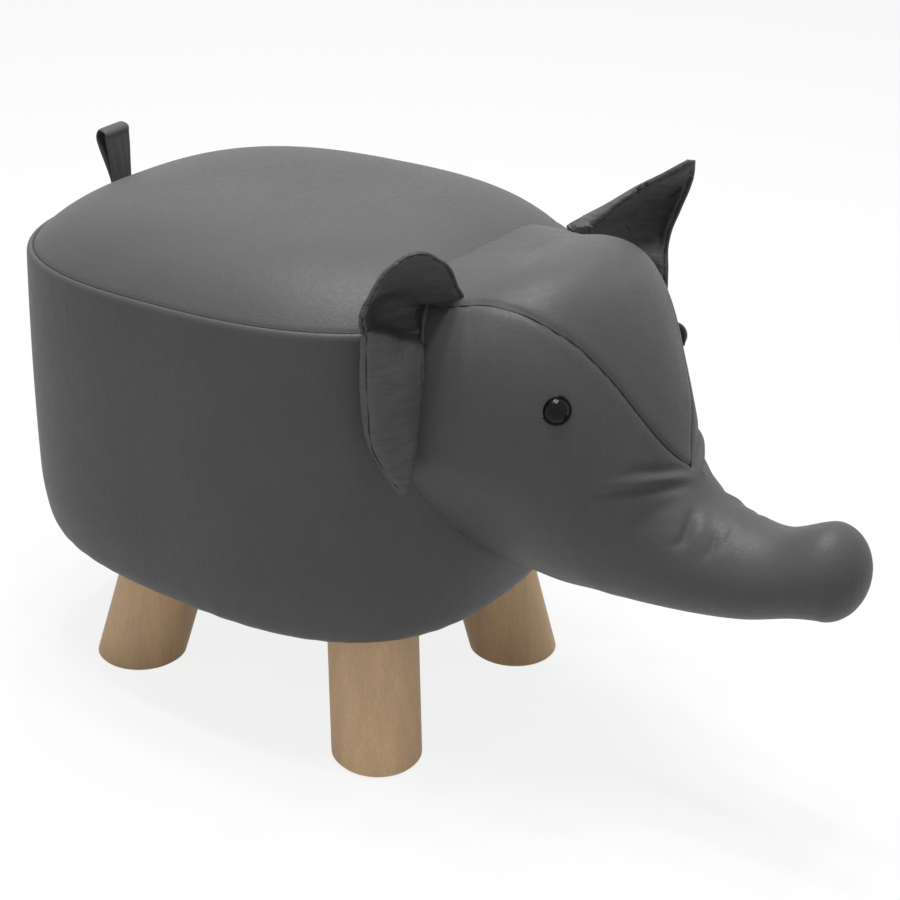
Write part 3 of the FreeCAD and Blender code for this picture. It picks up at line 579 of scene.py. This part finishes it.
def leather(name, stretch, creasing=1.0):
    """Coated leather: fine even pebbles, faint creases drawn out one way and a low sheen."""
    material, tree, shader = new_material(name)
    plain = texture_place(tree)
    pebbles = tree.nodes.new("ShaderNodeTexVoronoi")
    pebbles.feature = "SMOOTH_F1"
    pebbles.inputs["Scale"].default_value = 950
    tree.links.new(plain, pebbles.inputs["Vector"])
    creases = noise(tree, texture_place(tree, stretch), scale=420, roughness=0.6)
    cloudy = noise(tree, plain, scale=16, detail=3)
    speckled = noise(tree, plain, scale=1300, detail=2)
    crease_tone = 0.035 * creasing
    tone = math_node(tree, "MULTIPLY", ramp(tree, cloudy, low=0.95, high=1.05),
                     ramp(tree, creases, low=1 - crease_tone, high=1 + crease_tone))
    tone = math_node(tree, "MULTIPLY", tone, ramp(tree, speckled, low=0.97, high=1.03))
    tree.links.new(scaled_colour(tree, LEATHER, tone), shader.inputs["Base Color"])
    tree.links.new(ramp(tree, creases, low=0.56, high=0.48), shader.inputs["Roughness"])
    shader.inputs["Specular IOR Level"].default_value = 0.25
    relief = bump(tree, pebbles.outputs["Distance"], distance=0.0004, strength=0.3)
    relief = bump(tree, creases, distance=0.0005 * creasing, strength=0.3, before=relief)
    tree.links.new(relief, shader.inputs["Normal"])
    return material


def thread_material():
    """Dull dark thread with a fine twist."""
    material, tree, shader = new_material("dark_thread")
    twist = noise(tree, texture_place(tree), scale=2500, detail=2)
    colour = scaled_colour(tree, THREAD, ramp(tree, twist, low=0.7, high=1.5))
    tree.links.new(colour, shader.inputs["Base Color"])
    shader.inputs["Roughness"].default_value = 0.7
    return material


def wood_material(name, colour):
    """Sanded wood with grain lines along its length and faint darker figure."""
    material, tree, shader = new_material(name)
    long_grain = texture_place(tree, (1, 1, 0.05))
    fine = noise(tree, long_grain, scale=900, detail=5, roughness=0.6)
    broad = noise(tree, texture_place(tree, (1, 1, 0.16)), scale=70, roughness=0.6)
    pores = noise(tree, long_grain, scale=2200, detail=2, roughness=0.5)
    tone = math_node(tree, "MULTIPLY", ramp(tree, fine, low=0.93, high=1.06),
                     ramp(tree, broad, low=0.87, high=1.1))
    tone = math_node(tree, "MULTIPLY", tone,
                     ramp(tree, pores, low=0.93, high=1.02, from_high=0.5))
    tree.links.new(scaled_colour(tree, colour, tone), shader.inputs["Base Color"])
    tree.links.new(ramp(tree, broad, low=0.5, high=0.62), shader.inputs["Roughness"])
    shader.inputs["Specular IOR Level"].default_value = 0.35
    tree.links.new(bump(tree, fine, distance=0.0003, strength=0.3), shader.inputs["Normal"])
    return material


def plain_material(name, colour, roughness, grain_scale, metallic=0.0):
    """A finish with a fine grain of its own, for small and hidden pieces."""
    material, tree, shader = new_material(name)
    grain = noise(tree, texture_place(tree), grain_scale)
    tone = scaled_colour(tree, colour, ramp(tree, grain, low=0.85, high=1.15))
    tree.links.new(tone, shader.inputs["Base Color"])
    dullness = ramp(tree, grain, low=roughness - 0.05, high=roughness + 0.08)
    tree.links.new(dullness, shader.inputs["Roughness"])
    shader.inputs["Metallic"].default_value = metallic
    tree.links.new(bump(tree, grain, distance=0.0002, strength=0.4), shader.inputs["Normal"])
    return material


def eye_material():
    """Glossy black plastic with faint moulding waves."""
    material, tree, shader = new_material("eye_gloss")
    waves = noise(tree, texture_place(tree), scale=120, detail=2)
    colour = scaled_colour(tree, EYE, ramp(tree, waves, low=0.8, high=1.3))
    tree.links.new(colour, shader.inputs["Base Color"])
    tree.links.new(ramp(tree, waves, low=0.05, high=0.08), shader.inputs["Roughness"])
    shader.inputs["Specular IOR Level"].default_value = 0.15
    return material


# seat

def outline_angles():
    """Angles that stand at equal distances along the seat's outline."""
    dense = np.linspace(0, 2 * math.pi, 6001)
    length = passed_length(np.stack(outline_xy(dense, 0.0), axis=1))
    return np.interp(np.linspace(0, length[-1], AROUND, endpoint=False), length, dense)


def outline_xy(angles, inset, share=1.0):
    """The seat's outline, drawn in by the inset and scaled by the share."""
    across = squared_off(np.cos(angles), OUTLINE_POWER)
    along = squared_off(np.sin(angles), OUTLINE_POWER)
    return SEAT_MIDDLE.x + (HALF_LONG - inset) * share * across, (HALF_WIDE - inset) * share * along


def seam_height(forward):
    """Height of the top seam, which climbs a little towards the front."""
    return SEAM_HEIGHT + SEAM_SLOPE_SHARE * (forward - FEET.x)


def crown_rise(share):
    """How far the crown stands over the seam, by the share of the way out to its edge."""
    return CROWN_HEIGHT * (1 - (share / SEAM_SHARE) ** CROWN_POWER) - SEAM_SINK


def puckers(angles, pitch, seed):
    """Uneven small waves round the seat, about one pitch apart."""
    around = 2 * (HALF_LONG + HALF_WIDE) * 1.7
    turns = round(around / pitch)
    place = angles / (2 * math.pi)
    waves = np.sin(2 * math.pi * turns * place + 1.7 * np.sin(2 * math.pi * 7 * place + seed))
    return waves * (0.6 + 0.4 * np.sin(2 * math.pi * 11 * place + 2.3 * seed))


def seat_top(material, angles):
    """Domed cover and foam, rounded over at the seam."""
    rows = []
    for share in TOP_SHARES:
        forward, side = outline_xy(angles, 0.0, share)
        edge = (SEAM_SHARE - share) * HALF_WIDE
        height = seam_height(forward) + crown_rise(share)
        height -= SEAM_DEPTH * math.exp(-(edge / TOP_GROOVE) ** 2)
        height += TOP_WAVE * puckers(angles, pitch=0.01, seed=1) * math.exp(-edge / TOP_WAVE_REACH)
        rows.append(np.stack([forward, side, height], axis=1))
    forward, side = outline_xy(angles, 0.0, SEAM_SHARE)
    rows.append(np.stack([forward, side, seam_height(forward) - TOP_SKIRT], axis=1))
    rows.reverse()
    points = np.vstack(rows)
    points, faces = capped(points, len(rows), AROUND, grid_faces(len(rows), AROUND))
    piece = add_piece("seat_top", points, faces, material, "stool",
                      ("seat_top_panel", "crown_foam"))


def seat_side(material, angles):
    """Side cover with its padding: rolled at the seam and turned under below."""
    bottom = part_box("seat_side_band")[0].z
    knots = np.arange(len(LOWER_EDGE))
    lower_edge = smooth_through(np.array(LOWER_EDGE) * (LOWER_EDGE_INSET, LOWER_EDGE_HEIGHT),
                                knots, np.linspace(0, knots[-1], LOWER_ROWS))
    rows = []

    def ring(inset, height):
        """Add a row of points round the seat."""
        forward, side = outline_xy(angles, inset)
        rows.append(np.stack([forward, side, np.broadcast_to(height, forward.shape)], axis=1))

    for share in np.linspace(1, 0.08, 9):
        ring(LOWER_EDGE_INSET + TURNED_EDGE * share,
             bottom + EDGE_WAVE * (1 + puckers(angles, pitch=0.012, seed=3)) * share)
    for inset, lift in lower_edge:
        wave = EDGE_WAVE * puckers(angles, pitch=0.017, seed=5) * math.exp(-lift / EDGE_WAVE_REACH)
        ring(inset + wave, bottom + lift)
    forward, _ = outline_xy(angles, 0.0)
    low = bottom + LOWER_EDGE_HEIGHT
    high = seam_height(forward) - SHOULDER_DROP
    for share in np.linspace(0.03, 1.0, 44):
        puff = WALL_PUFF * math.sin(math.pi * share) ** 0.8
        ring(-puff * 0.6, low + (high - low) * share)
    forward, _ = outline_xy(angles, SHOULDER_INSET)
    seam = seam_height(forward) + crown_rise(SEAM_SHARE)
    start = seam_height(forward) - SHOULDER_DROP
    for share in np.linspace(0.06, 1.0, 16):
        turn = share * math.pi / 2
        inset = SHOULDER_INSET * (1 - math.cos(turn) ** (2 / SHOULDER_POWER))
        inset += SHOULDER_WAVE * puckers(angles, pitch=0.01, seed=2) * share
        rise = math.sin(turn) ** (2 / SHOULDER_POWER)
        dip = SEAM_DEPTH * math.exp(-((1 - share) * SHOULDER_DROP / SIDE_GROOVE) ** 2)
        ring(inset + 0.4 * dip, start + (seam - start) * rise - dip)
    ring(SHOULDER_INSET + PADDING, seam - PADDING_DROP)
    ring(PADDING, bottom + 2 * COVER)
    ring(LOWER_EDGE_INSET + TURNED_EDGE, bottom + COVER)
    points = np.vstack(rows)
    faces = grid_faces(len(rows), AROUND, closed_rows=True)
    piece = add_piece("seat_side", points, faces, material, "stool",
                      ("seat_side_band", "side_padding"))


def seat_seam_thread(material, angles):
    """Thin dark line of thread in the groove of the top seam."""
    forward, side = outline_xy(angles, SHOULDER_INSET + THREAD_INSET)
    height = seam_height(forward) + crown_rise(SEAM_SHARE) - THREAD_SINK
    line = np.stack([forward, side, height], axis=1)
    line = np.vstack([line, line[:1]])
    points, faces = tube(line, THREAD_RADIUS * 0.7)
    add_piece("seat_seam_thread", points, faces, material, "stool")


# head

def station_rows():
    """Stations of the head, then of its rounded tip, as arrays."""
    stations = []
    for top_x, top_z, low_x, low_z, width, top_power, low_power in HEAD_STATION_SHARES:
        top = (HEAD_REAR + HEAD_REACH * top_x, HEAD_UNDERSIDE + HEAD_HEIGHT * top_z)
        low = (HEAD_REAR + HEAD_REACH * low_x, HEAD_UNDERSIDE + HEAD_HEIGHT * low_z)
        stations.append((*top, *low, width * HEAD_WIDTH / 2, top_power, low_power))
    top_x, top_z, low_x, low_z, half_width, top_power, low_power = stations[-1]
    middle = np.array([(top_x + low_x) / 2, (top_z + low_z) / 2])
    reach = np.array([(top_x - low_x) / 2, (top_z - low_z) / 2])
    onward = np.array([reach[1], -reach[0]]) / np.linalg.norm(reach) * TRUNK_TIP
    for along, size in TIP_SHARES:
        top = middle + onward * along + reach * size
        low = middle + onward * along - reach * size
        stations.append((*top, *low, half_width * size, top_power, low_power))
    return np.array(stations)


def head_grid():
    """The stuffed head as a grid of points, rows from the seat to the tip."""
    stations = station_rows()
    knots = passed_length((stations[:, 0:2] + stations[:, 2:4]) / 2, extra=0.002)
    table = smooth_through(stations, knots, np.linspace(0, knots[-1], HEAD_ROWS))
    angles = (np.arange(HEAD_COLUMNS) + 0.5) * 2 * math.pi / HEAD_COLUMNS
    sine = np.sin(angles)
    cosine = np.cos(angles)
    rows = []
    for top_x, top_z, low_x, low_z, half_width, top_power, low_power in table:
        power = np.where(sine > 0, top_power, low_power)
        across = squared_off(cosine, power)
        along = squared_off(sine, power)
        forward = (top_x + low_x) / 2 + (top_x - low_x) / 2 * along
        height = (top_z + low_z) / 2 + (top_z - low_z) / 2 * along
        ring = np.stack([forward + FEET.x, half_width * across, height], axis=1)
        closed = along_length(np.vstack([ring, ring[:1]]), HEAD_COLUMNS + 1)
        rows.append(closed[:-1])
    return np.array(rows)


def surface_tree(points, faces):
    """A surface in a form that finds its nearest place to a point."""
    return BVHTree.FromPolygons([Vector(point) for point in points], faces)


def on_surface(surface, line):
    """A line laid on a surface, with the surface's direction at each point."""
    places, normals = [], []
    for point in line:
        place, normal, _, _ = surface.find_nearest(Vector(point))
        places.append(place)
        normals.append(normal)
    return np.array(places), np.array(normals)


def brow_line(side, surface):
    """One side's brow seam laid on the head, with the head's direction at each point."""
    line = smooth_line([(FEET.x + x, side * y, z) for x, y, z in BROW_SEAM], 90)
    return on_surface(surface, line)


def seat_clearance(points):
    """How far each point stands outside the seat, roughly, in metres."""
    forward = np.abs(points[:, 0] - SEAT_MIDDLE.x) / HALF_LONG
    side = np.abs(points[:, 1]) / HALF_WIDE
    ring = (forward ** OUTLINE_POWER + side ** OUTLINE_POWER) ** (1 / OUTLINE_POWER)
    from_middle = np.hypot(points[:, 0] - SEAT_MIDDLE.x, points[:, 1])
    beside = (ring - 1) * from_middle / np.maximum(ring, 1e-6)
    above = points[:, 2] - seam_height(points[:, 0]) - crown_rise(np.minimum(ring, 1))
    return np.maximum(beside, above)


def on_forehead(points):
    """Which points lie between the two brow seams."""
    seam = np.array(BROW_SEAM)
    forward = points[:, 0] - FEET.x
    reach = np.interp(forward, seam[:, 0], seam[:, 1], right=0)
    height = np.interp(forward, seam[:, 0], seam[:, 2]) - FOREHEAD_DEPTH
    return (np.abs(points[:, 1]) < reach) & (points[:, 2] > height)


def head(material, brow_material, thread):
    """Head and trunk in one, drawn in at the brow seams and at the folds of the trunk."""
    grid = head_grid()
    rows, columns = grid.shape[:2]
    flat = grid.reshape(-1, 3)
    surface = surface_tree(*capped(flat, rows, columns, grid_faces(rows, columns)))
    normals = grid_normals(grid).reshape(-1, 3)
    move = np.zeros(len(flat))
    threads = []
    for side in SIDES.values():
        line, line_normals = brow_line(side, surface)
        distance, _ = distance_to(flat, line)
        move += SEAM_PUFF * np.exp(-((distance - PUFF_PLACE) / PUFF_WIDTH) ** 2)
        move -= SEAM_PINCH * np.exp(-(distance / SEAM_WIDTH) ** 2)
        sunk = SEAM_PINCH - SEAM_PUFF * 0.2 - THREAD_RADIUS
        threads.append(tube(line - line_normals * sunk, THREAD_RADIUS))
        for depth, width, *fold in FOLDS:
            line = smooth_line([(FEET.x + x, side * y, z) for x, y, z in fold], 24)
            distance, place = distance_to(flat, line)
            ends = np.sin(math.pi * np.clip(0.12 + 0.76 * place, 0, 1))
            move -= depth * ends * np.exp(-(distance / width) ** 2)
    near = np.exp(-np.maximum(seat_clearance(flat), 0) / JOIN_REACH)
    side, height = flat[:, 1], flat[:, 2]
    gathers = np.sin(side * 520 + 2 * np.sin(height * 90)) * np.sin(height * 410 + 1.3)
    move -= near * (JOIN_TUCK + JOIN_GATHER * gathers)
    flat = flat + normals * move[:, None]
    points, faces = capped(flat, rows, columns, grid_faces(rows, columns))
    piece = add_piece("head_and_trunk", points, faces, material, "stool",
                      ("face_cover", "forehead_panel", "head_stuffing", "trunk_stuffing"))
    piece.data.materials.append(brow_material)
    middles = np.array([np.mean([points[index] for index in face], axis=0) for face in faces])
    piece.data.polygons.foreach_set("material_index", on_forehead(middles).astype(int))
    points, faces = joined(threads)
    add_piece("brow_seam_thread", points, faces, thread, "stool")
    return surface


# ears

def ear_surface(net, up, across):
    """Places on an ear's middle surface, from shares of its height and its width."""
    knots = passed_length(net[:, 2], extra=0.004)
    rows = smooth_through(net, knots, up * knots[-1])
    slopes = np.gradient(rows, axis=1)
    last = rows.shape[1] - 1
    index = np.clip((across * last).astype(int), 0, last - 1)
    share = (across * last - index)[:, None]
    pick = np.arange(len(rows))
    return between(share, rows[pick, index], slopes[pick, index],
                   rows[pick, index + 1], slopes[pick, index + 1])


def ear_border(net):
    """Shares of height and width at equal distances round an ear, and the sides passed."""
    corners = np.arange(5)
    passed = np.linspace(0, 4, 1601)
    heights, widths = (0, 0, 1, 1, 0), (0, 1, 1, 0, 0)
    line = ear_surface(net, np.interp(passed, corners, heights), np.interp(passed, corners, widths))
    length = passed_length(line)
    passed = np.interp(np.linspace(0, length[-1], EAR_AROUND, endpoint=False), length, passed)
    return np.interp(passed, corners, heights), np.interp(passed, corners, widths), passed


def ear(name, material, thread):
    """A double flap of leather, turned back and stitched round its rim."""
    side = SIDES[name]
    net = np.array(EAR_NETS[name]) * (1, side, 1) + (FEET.x, 0, 0)
    up, across, passed = ear_border(net)
    up = 0.5 + np.outer(EAR_RINGS, up - 0.5)
    across = 0.5 + np.outer(EAR_RINGS, across - 0.5)
    rings = len(EAR_RINGS)
    flat = ear_surface(net, up.ravel(), across.ravel())
    rim = flat.reshape(rings, EAR_AROUND, 3)[-1]
    distance, share = distance_to(flat, np.vstack([rim, rim[:1]]))
    where = np.interp(share * EAR_AROUND, np.arange(EAR_AROUND + 1), np.append(passed, 4))
    places, *measures = np.array(EAR_RIMS[name]).T
    width, depth, inset = (np.interp(where, places, measure) for measure in measures)
    turned = depth * np.clip(1 - distance / width, 0, 1) ** EAR_TURN_POWER
    away = np.array(EAR_TURNS[name])
    middle = (flat + turned[:, None] * away).reshape(rings, EAR_AROUND, 3)
    normals = grid_normals(middle)
    if (normals @ away).mean() > 0:
        normals = -normals
    middle, normals = middle.reshape(-1, 3), normals.reshape(-1, 3)
    rounding = np.clip(1 - distance / EAR_THICKNESS * 2, 0, 0.995)
    half = EAR_THICKNESS / 2 * np.sqrt(1 - rounding ** 2)
    sunk, sunk_width = STITCH_GROOVE
    raised, raised_place, raised_width = STITCH_RIDGE
    groove = sunk * np.exp(-((distance - inset) / sunk_width) ** 2)
    groove -= raised * np.exp(-((distance - inset - raised_place) / raised_width) ** 2)
    groove *= np.clip((WIDEST_GROOVE - inset) / 0.002, 0, 1)
    front = middle + normals * (half - groove)[:, None]
    back = middle - normals * (half - groove)[:, None]
    front, front_faces = fan_closed(front, rings)
    back, back_faces = fan_closed(back, rings)
    count = len(front)
    faces = front_faces + [tuple(index + count for index in reversed(face)) for face in back_faces]
    base = (rings - 1) * EAR_AROUND
    for column in range(EAR_AROUND):
        right = base + (column + 1) % EAR_AROUND
        faces.append((right, base + column, base + column + count, right + count))
    piece = add_piece(name + "_ear", np.vstack([front, back]), faces, material,
                      replaced=(name + "_ear_front", name + "_ear_back"))
    bend_with_ear(piece)
    ear_stitches(name, front[:-1], normals, distance - inset, passed, thread)


def fan_closed(points, rings):
    """Faces of rings round a middle point, which is added last."""
    faces = grid_faces(rings, EAR_AROUND)
    middle = points[:EAR_AROUND].mean(axis=0)
    for column in range(EAR_AROUND):
        faces.append(((column + 1) % EAR_AROUND, column, len(points)))
    return np.vstack([points, middle]), faces


def bend_with_ear(piece):
    """Bake the piece's placement into its points."""
    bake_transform(piece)


def ear_stitches(name, front, normals, past, passed, thread):
    """Dark stitches where the turned rim meets the inner face."""
    rings = len(EAR_RINGS)
    gap = past.reshape(rings, EAR_AROUND)
    front, normals = (part.reshape(rings, EAR_AROUND, 3) for part in (front, normals))
    low, high = EAR_STITCHED[name]
    line, away = [], []
    for column in np.flatnonzero((passed > low) & (passed < high)):
        ring = int(np.argmax(gap[:, column] < 0))
        share = gap[ring - 1, column] / (gap[ring - 1, column] - gap[ring, column])
        line.append(front[ring - 1, column] * (1 - share) + front[ring, column] * share)
        away.append(normals[ring, column])
    points, faces = stitches(np.array(line), np.array(away))
    piece = add_piece(name + "_ear_stitches", points, faces, thread)
    bend_with_ear(piece)


def ear_root(name, material, surface):
    """Pleated welt that sews the ear into the side of the head."""
    side = SIDES[name]
    root = [(FEET.x + x, side * y, z) for x, y, z in EAR_ROOTS[name]]
    line, away = on_surface(surface, smooth_line(root, 70))
    length = np.linspace(0, 1, len(line))
    pleats = np.sin(length * 54 + 2 * np.sin(length * 9)) * np.sin(length * math.pi) ** 0.3
    thinned_ends = np.clip(6 * np.minimum(length, 1 - length), 0.3, 1)
    radius = ROOT_RADIUS * (1 + ROOT_PLEAT * pleats) * thinned_ends
    points, faces = tube(line - away * ROOT_RADIUS * 0.3, radius[:, None, None], 16)
    piece = add_piece(name + "_ear_welt", points, faces, material, "stool",
                      (name + "_ear_root",))


# tail

def tail(material):
    """A strap folded into a loop that leans back, standing behind the top seam."""
    line = smooth_line(TAIL_PATH, 110)
    ahead = np.gradient(line, axis=0)
    ahead /= np.linalg.norm(ahead, axis=1, keepdims=True)
    out = np.stack([-ahead[:, 1], ahead[:, 0]], axis=1)
    spread = np.linspace(-0.5, 0.5, TAIL_COLUMNS)
    share = np.linspace(0, 1, len(line))[:, None]
    off_bend = 1 - np.exp(-((share - 0.5) / 0.2) ** 2)
    crease = TAIL_CREASE * np.sin(spread * 19 + 2.2 * share) * np.sin(math.pi * share) * off_bend
    crease -= TAIL_FOLD * np.exp(-((spread - 0.02) / 0.09) ** 2) * off_bend
    edge = np.sqrt(np.clip(1 - (2 * np.abs(spread)) ** 10, 0.08, 1))
    off_middle = TAIL_WIDTH * spread * (1 - 0.12 * np.cos(2 * math.pi * share))
    layers = []
    for offset in (TAIL_THICKNESS / 2, -TAIL_THICKNESS / 2):
        reach = offset * edge + crease
        forward = FEET.x + line[:, :1] + out[:, :1] * reach + TAIL_SKEW * off_middle
        tilt = TAIL_TILT * off_middle * np.sin(math.pi * share)
        height = line[:, 1:] + out[:, 1:] * reach + tilt
        layers.append(np.stack([forward, TAIL_SIDE + off_middle, height], axis=2))
    ring = np.concatenate([layers[0], layers[1][:, ::-1]], axis=1)
    columns = ring.shape[1]
    points, faces = capped(ring.reshape(-1, 3), len(line), columns, grid_faces(len(line), columns))
    add_piece("tail_strap", points, faces, material, "tail", ("tail_loop",))


# other nodes

def dress_nodes():
    """Give the solids that stay their finishes."""
    finishes = {start: wood_material(*finish) for start, finish in WOOD_FINISHES.items()}
    finishes.update((start, plain_material(*finish)) for start, finish in PLAIN_FINISHES.items())
    finishes["left_eye"] = finishes["right_eye"] = eye_material()
    for name, node in frame["nodes"].items():
        for start, material in finishes.items():
            if name.startswith(start):
                for slot in node.material_slots:
                    slot.material = material


# stage

def seen_directly(tree):
    """1 for rays from the camera and for those that metal or glass sends on, else 0."""
    path = tree.nodes.new("ShaderNodeLightPath")
    seen = math_node(tree, "MAXIMUM", path.outputs["Is Camera Ray"], path.outputs["Is Glossy Ray"])
    return math_node(tree, "MAXIMUM", seen, path.outputs["Is Transmission Ray"])


def show_mixed(tree, share, first, second, output):
    """Send the first shader to the output, and the second by its share."""
    mix = tree.nodes.new("ShaderNodeMixShader")
    tree.links.new(share, mix.inputs[0])
    tree.links.new(first.outputs[0], mix.inputs[1])
    tree.links.new(second.outputs[0], mix.inputs[2])
    tree.links.new(mix.outputs[0], tree.nodes[output].inputs["Surface"])


def floor():
    """A plain pale floor that looks nearly white and keeps the shadows."""
    mesh = bpy.data.meshes.new("floor")
    mesh.from_pydata([(x * FLOOR_HALF, y * FLOOR_HALF, FLOOR_HEIGHT)
                      for x, y in ((-1, -1), (1, -1), (1, 1), (-1, 1))], [], [(0, 1, 2, 3)])
    piece = add_object("floor", mesh)
    material, tree, shader = new_material("pale_floor")
    shader.inputs["Base Color"].default_value = FLOOR_COLOUR
    shader.inputs["Roughness"].default_value = 0.9
    glow = tree.nodes.new("ShaderNodeEmission")
    glow.inputs["Strength"].default_value = FLOOR_GLOW
    share = math_node(tree, "MULTIPLY", seen_directly(tree), FLOOR_GLOW_SHARE)
    show_mixed(tree, share, shader, glow, "Material Output")
    mesh.materials.append(material)


def world():
    """Soft light from all sides, which looks plain white where it is seen."""
    scene_world = bpy.data.worlds.new("studio")
    bpy.context.scene.world = scene_world
    scene_world.use_nodes = True
    tree = scene_world.node_tree
    soft = tree.nodes["Background"]
    white = tree.nodes.new("ShaderNodeBackground")
    for background, strength in ((soft, WORLD_STRENGTH), (white, 1.0)):
        background.inputs["Color"].default_value = WHITE
        background.inputs["Strength"].default_value = strength
    show_mixed(tree, seen_directly(tree), soft, white, "World Output")


def area_light(name, place, target, size, power):
    """A rectangular lamp that faces its target."""
    data = bpy.data.lights.new(name, "AREA")
    data.shape = "RECTANGLE"
    data.size, data.size_y = size
    data.energy = power
    lamp = add_object(name, data)
    lamp.location = place
    lamp.rotation_euler = (Vector(place) - Vector(target)).to_track_quat("Z", "Y").to_euler()


def lamps():
    """Nine small lamps overhead, and a large weak one beside."""
    forward, side, height = LAMP_PLACE
    for row in (-1, 0, 1):
        for column in (-1, 0, 1):
            place = (forward + LAMP_PITCH * row, side + LAMP_PITCH * column, height)
            name = f"overhead_{row + 2}_{column + 2}"
            area_light(name, place, LAMP_TARGET, LAMP_SIZE, LAMP_POWER)
    area_light("fill", FILL_PLACE, FILL_TARGET, FILL_SIZE, FILL_POWER)


def camera():
    """The photograph's view."""
    data = bpy.data.cameras.new("view")
    data.lens = CAMERA_LENS
    data.sensor_width = 36
    view = add_object("view", data)
    back = (CAMERA_PLACE - CAMERA_TARGET).normalized()
    right = Vector((0, 0, 1)).cross(back).normalized()
    up = back.cross(right)
    roll = math.radians(CAMERA_ROLL_DEG)
    rolled_right = right * math.cos(roll) + up * math.sin(roll)
    rolled_up = up * math.cos(roll) - right * math.sin(roll)
    turn = Matrix((rolled_right, rolled_up, back)).transposed().to_4x4()
    view.matrix_world = Matrix.Translation(CAMERA_PLACE + FEET) @ turn
    bpy.context.scene.camera = view


def main():
    """Dress the frame's stool, then set up the floor and the light."""
    camera()
    upright = leather("leather_upright", stretch=(1, 1, 0.22))
    level = leather("leather_level", stretch=(0.3, 0.3, 1))
    wrinkled = leather("leather_wrinkled", stretch=(0.2, 0.2, 0.85), creasing=4.5)
    seat_grain = leather("leather_seat", stretch=(1, 0.5, 1))
    thread = thread_material()
    angles = outline_angles()
    seat_top(seat_grain, angles)
    seat_side(upright, angles)
    seat_seam_thread(thread, angles)
    head_surface = head(upright, level, thread)
    for name in SIDES:
        ear(name, wrinkled, thread)
        ear_root(name, upright, head_surface)
    tail(upright)
    dress_nodes()
    floor()
    world()
    lamps()


main()
bpy.context.scene.view_settings.view_transform = "Standard"
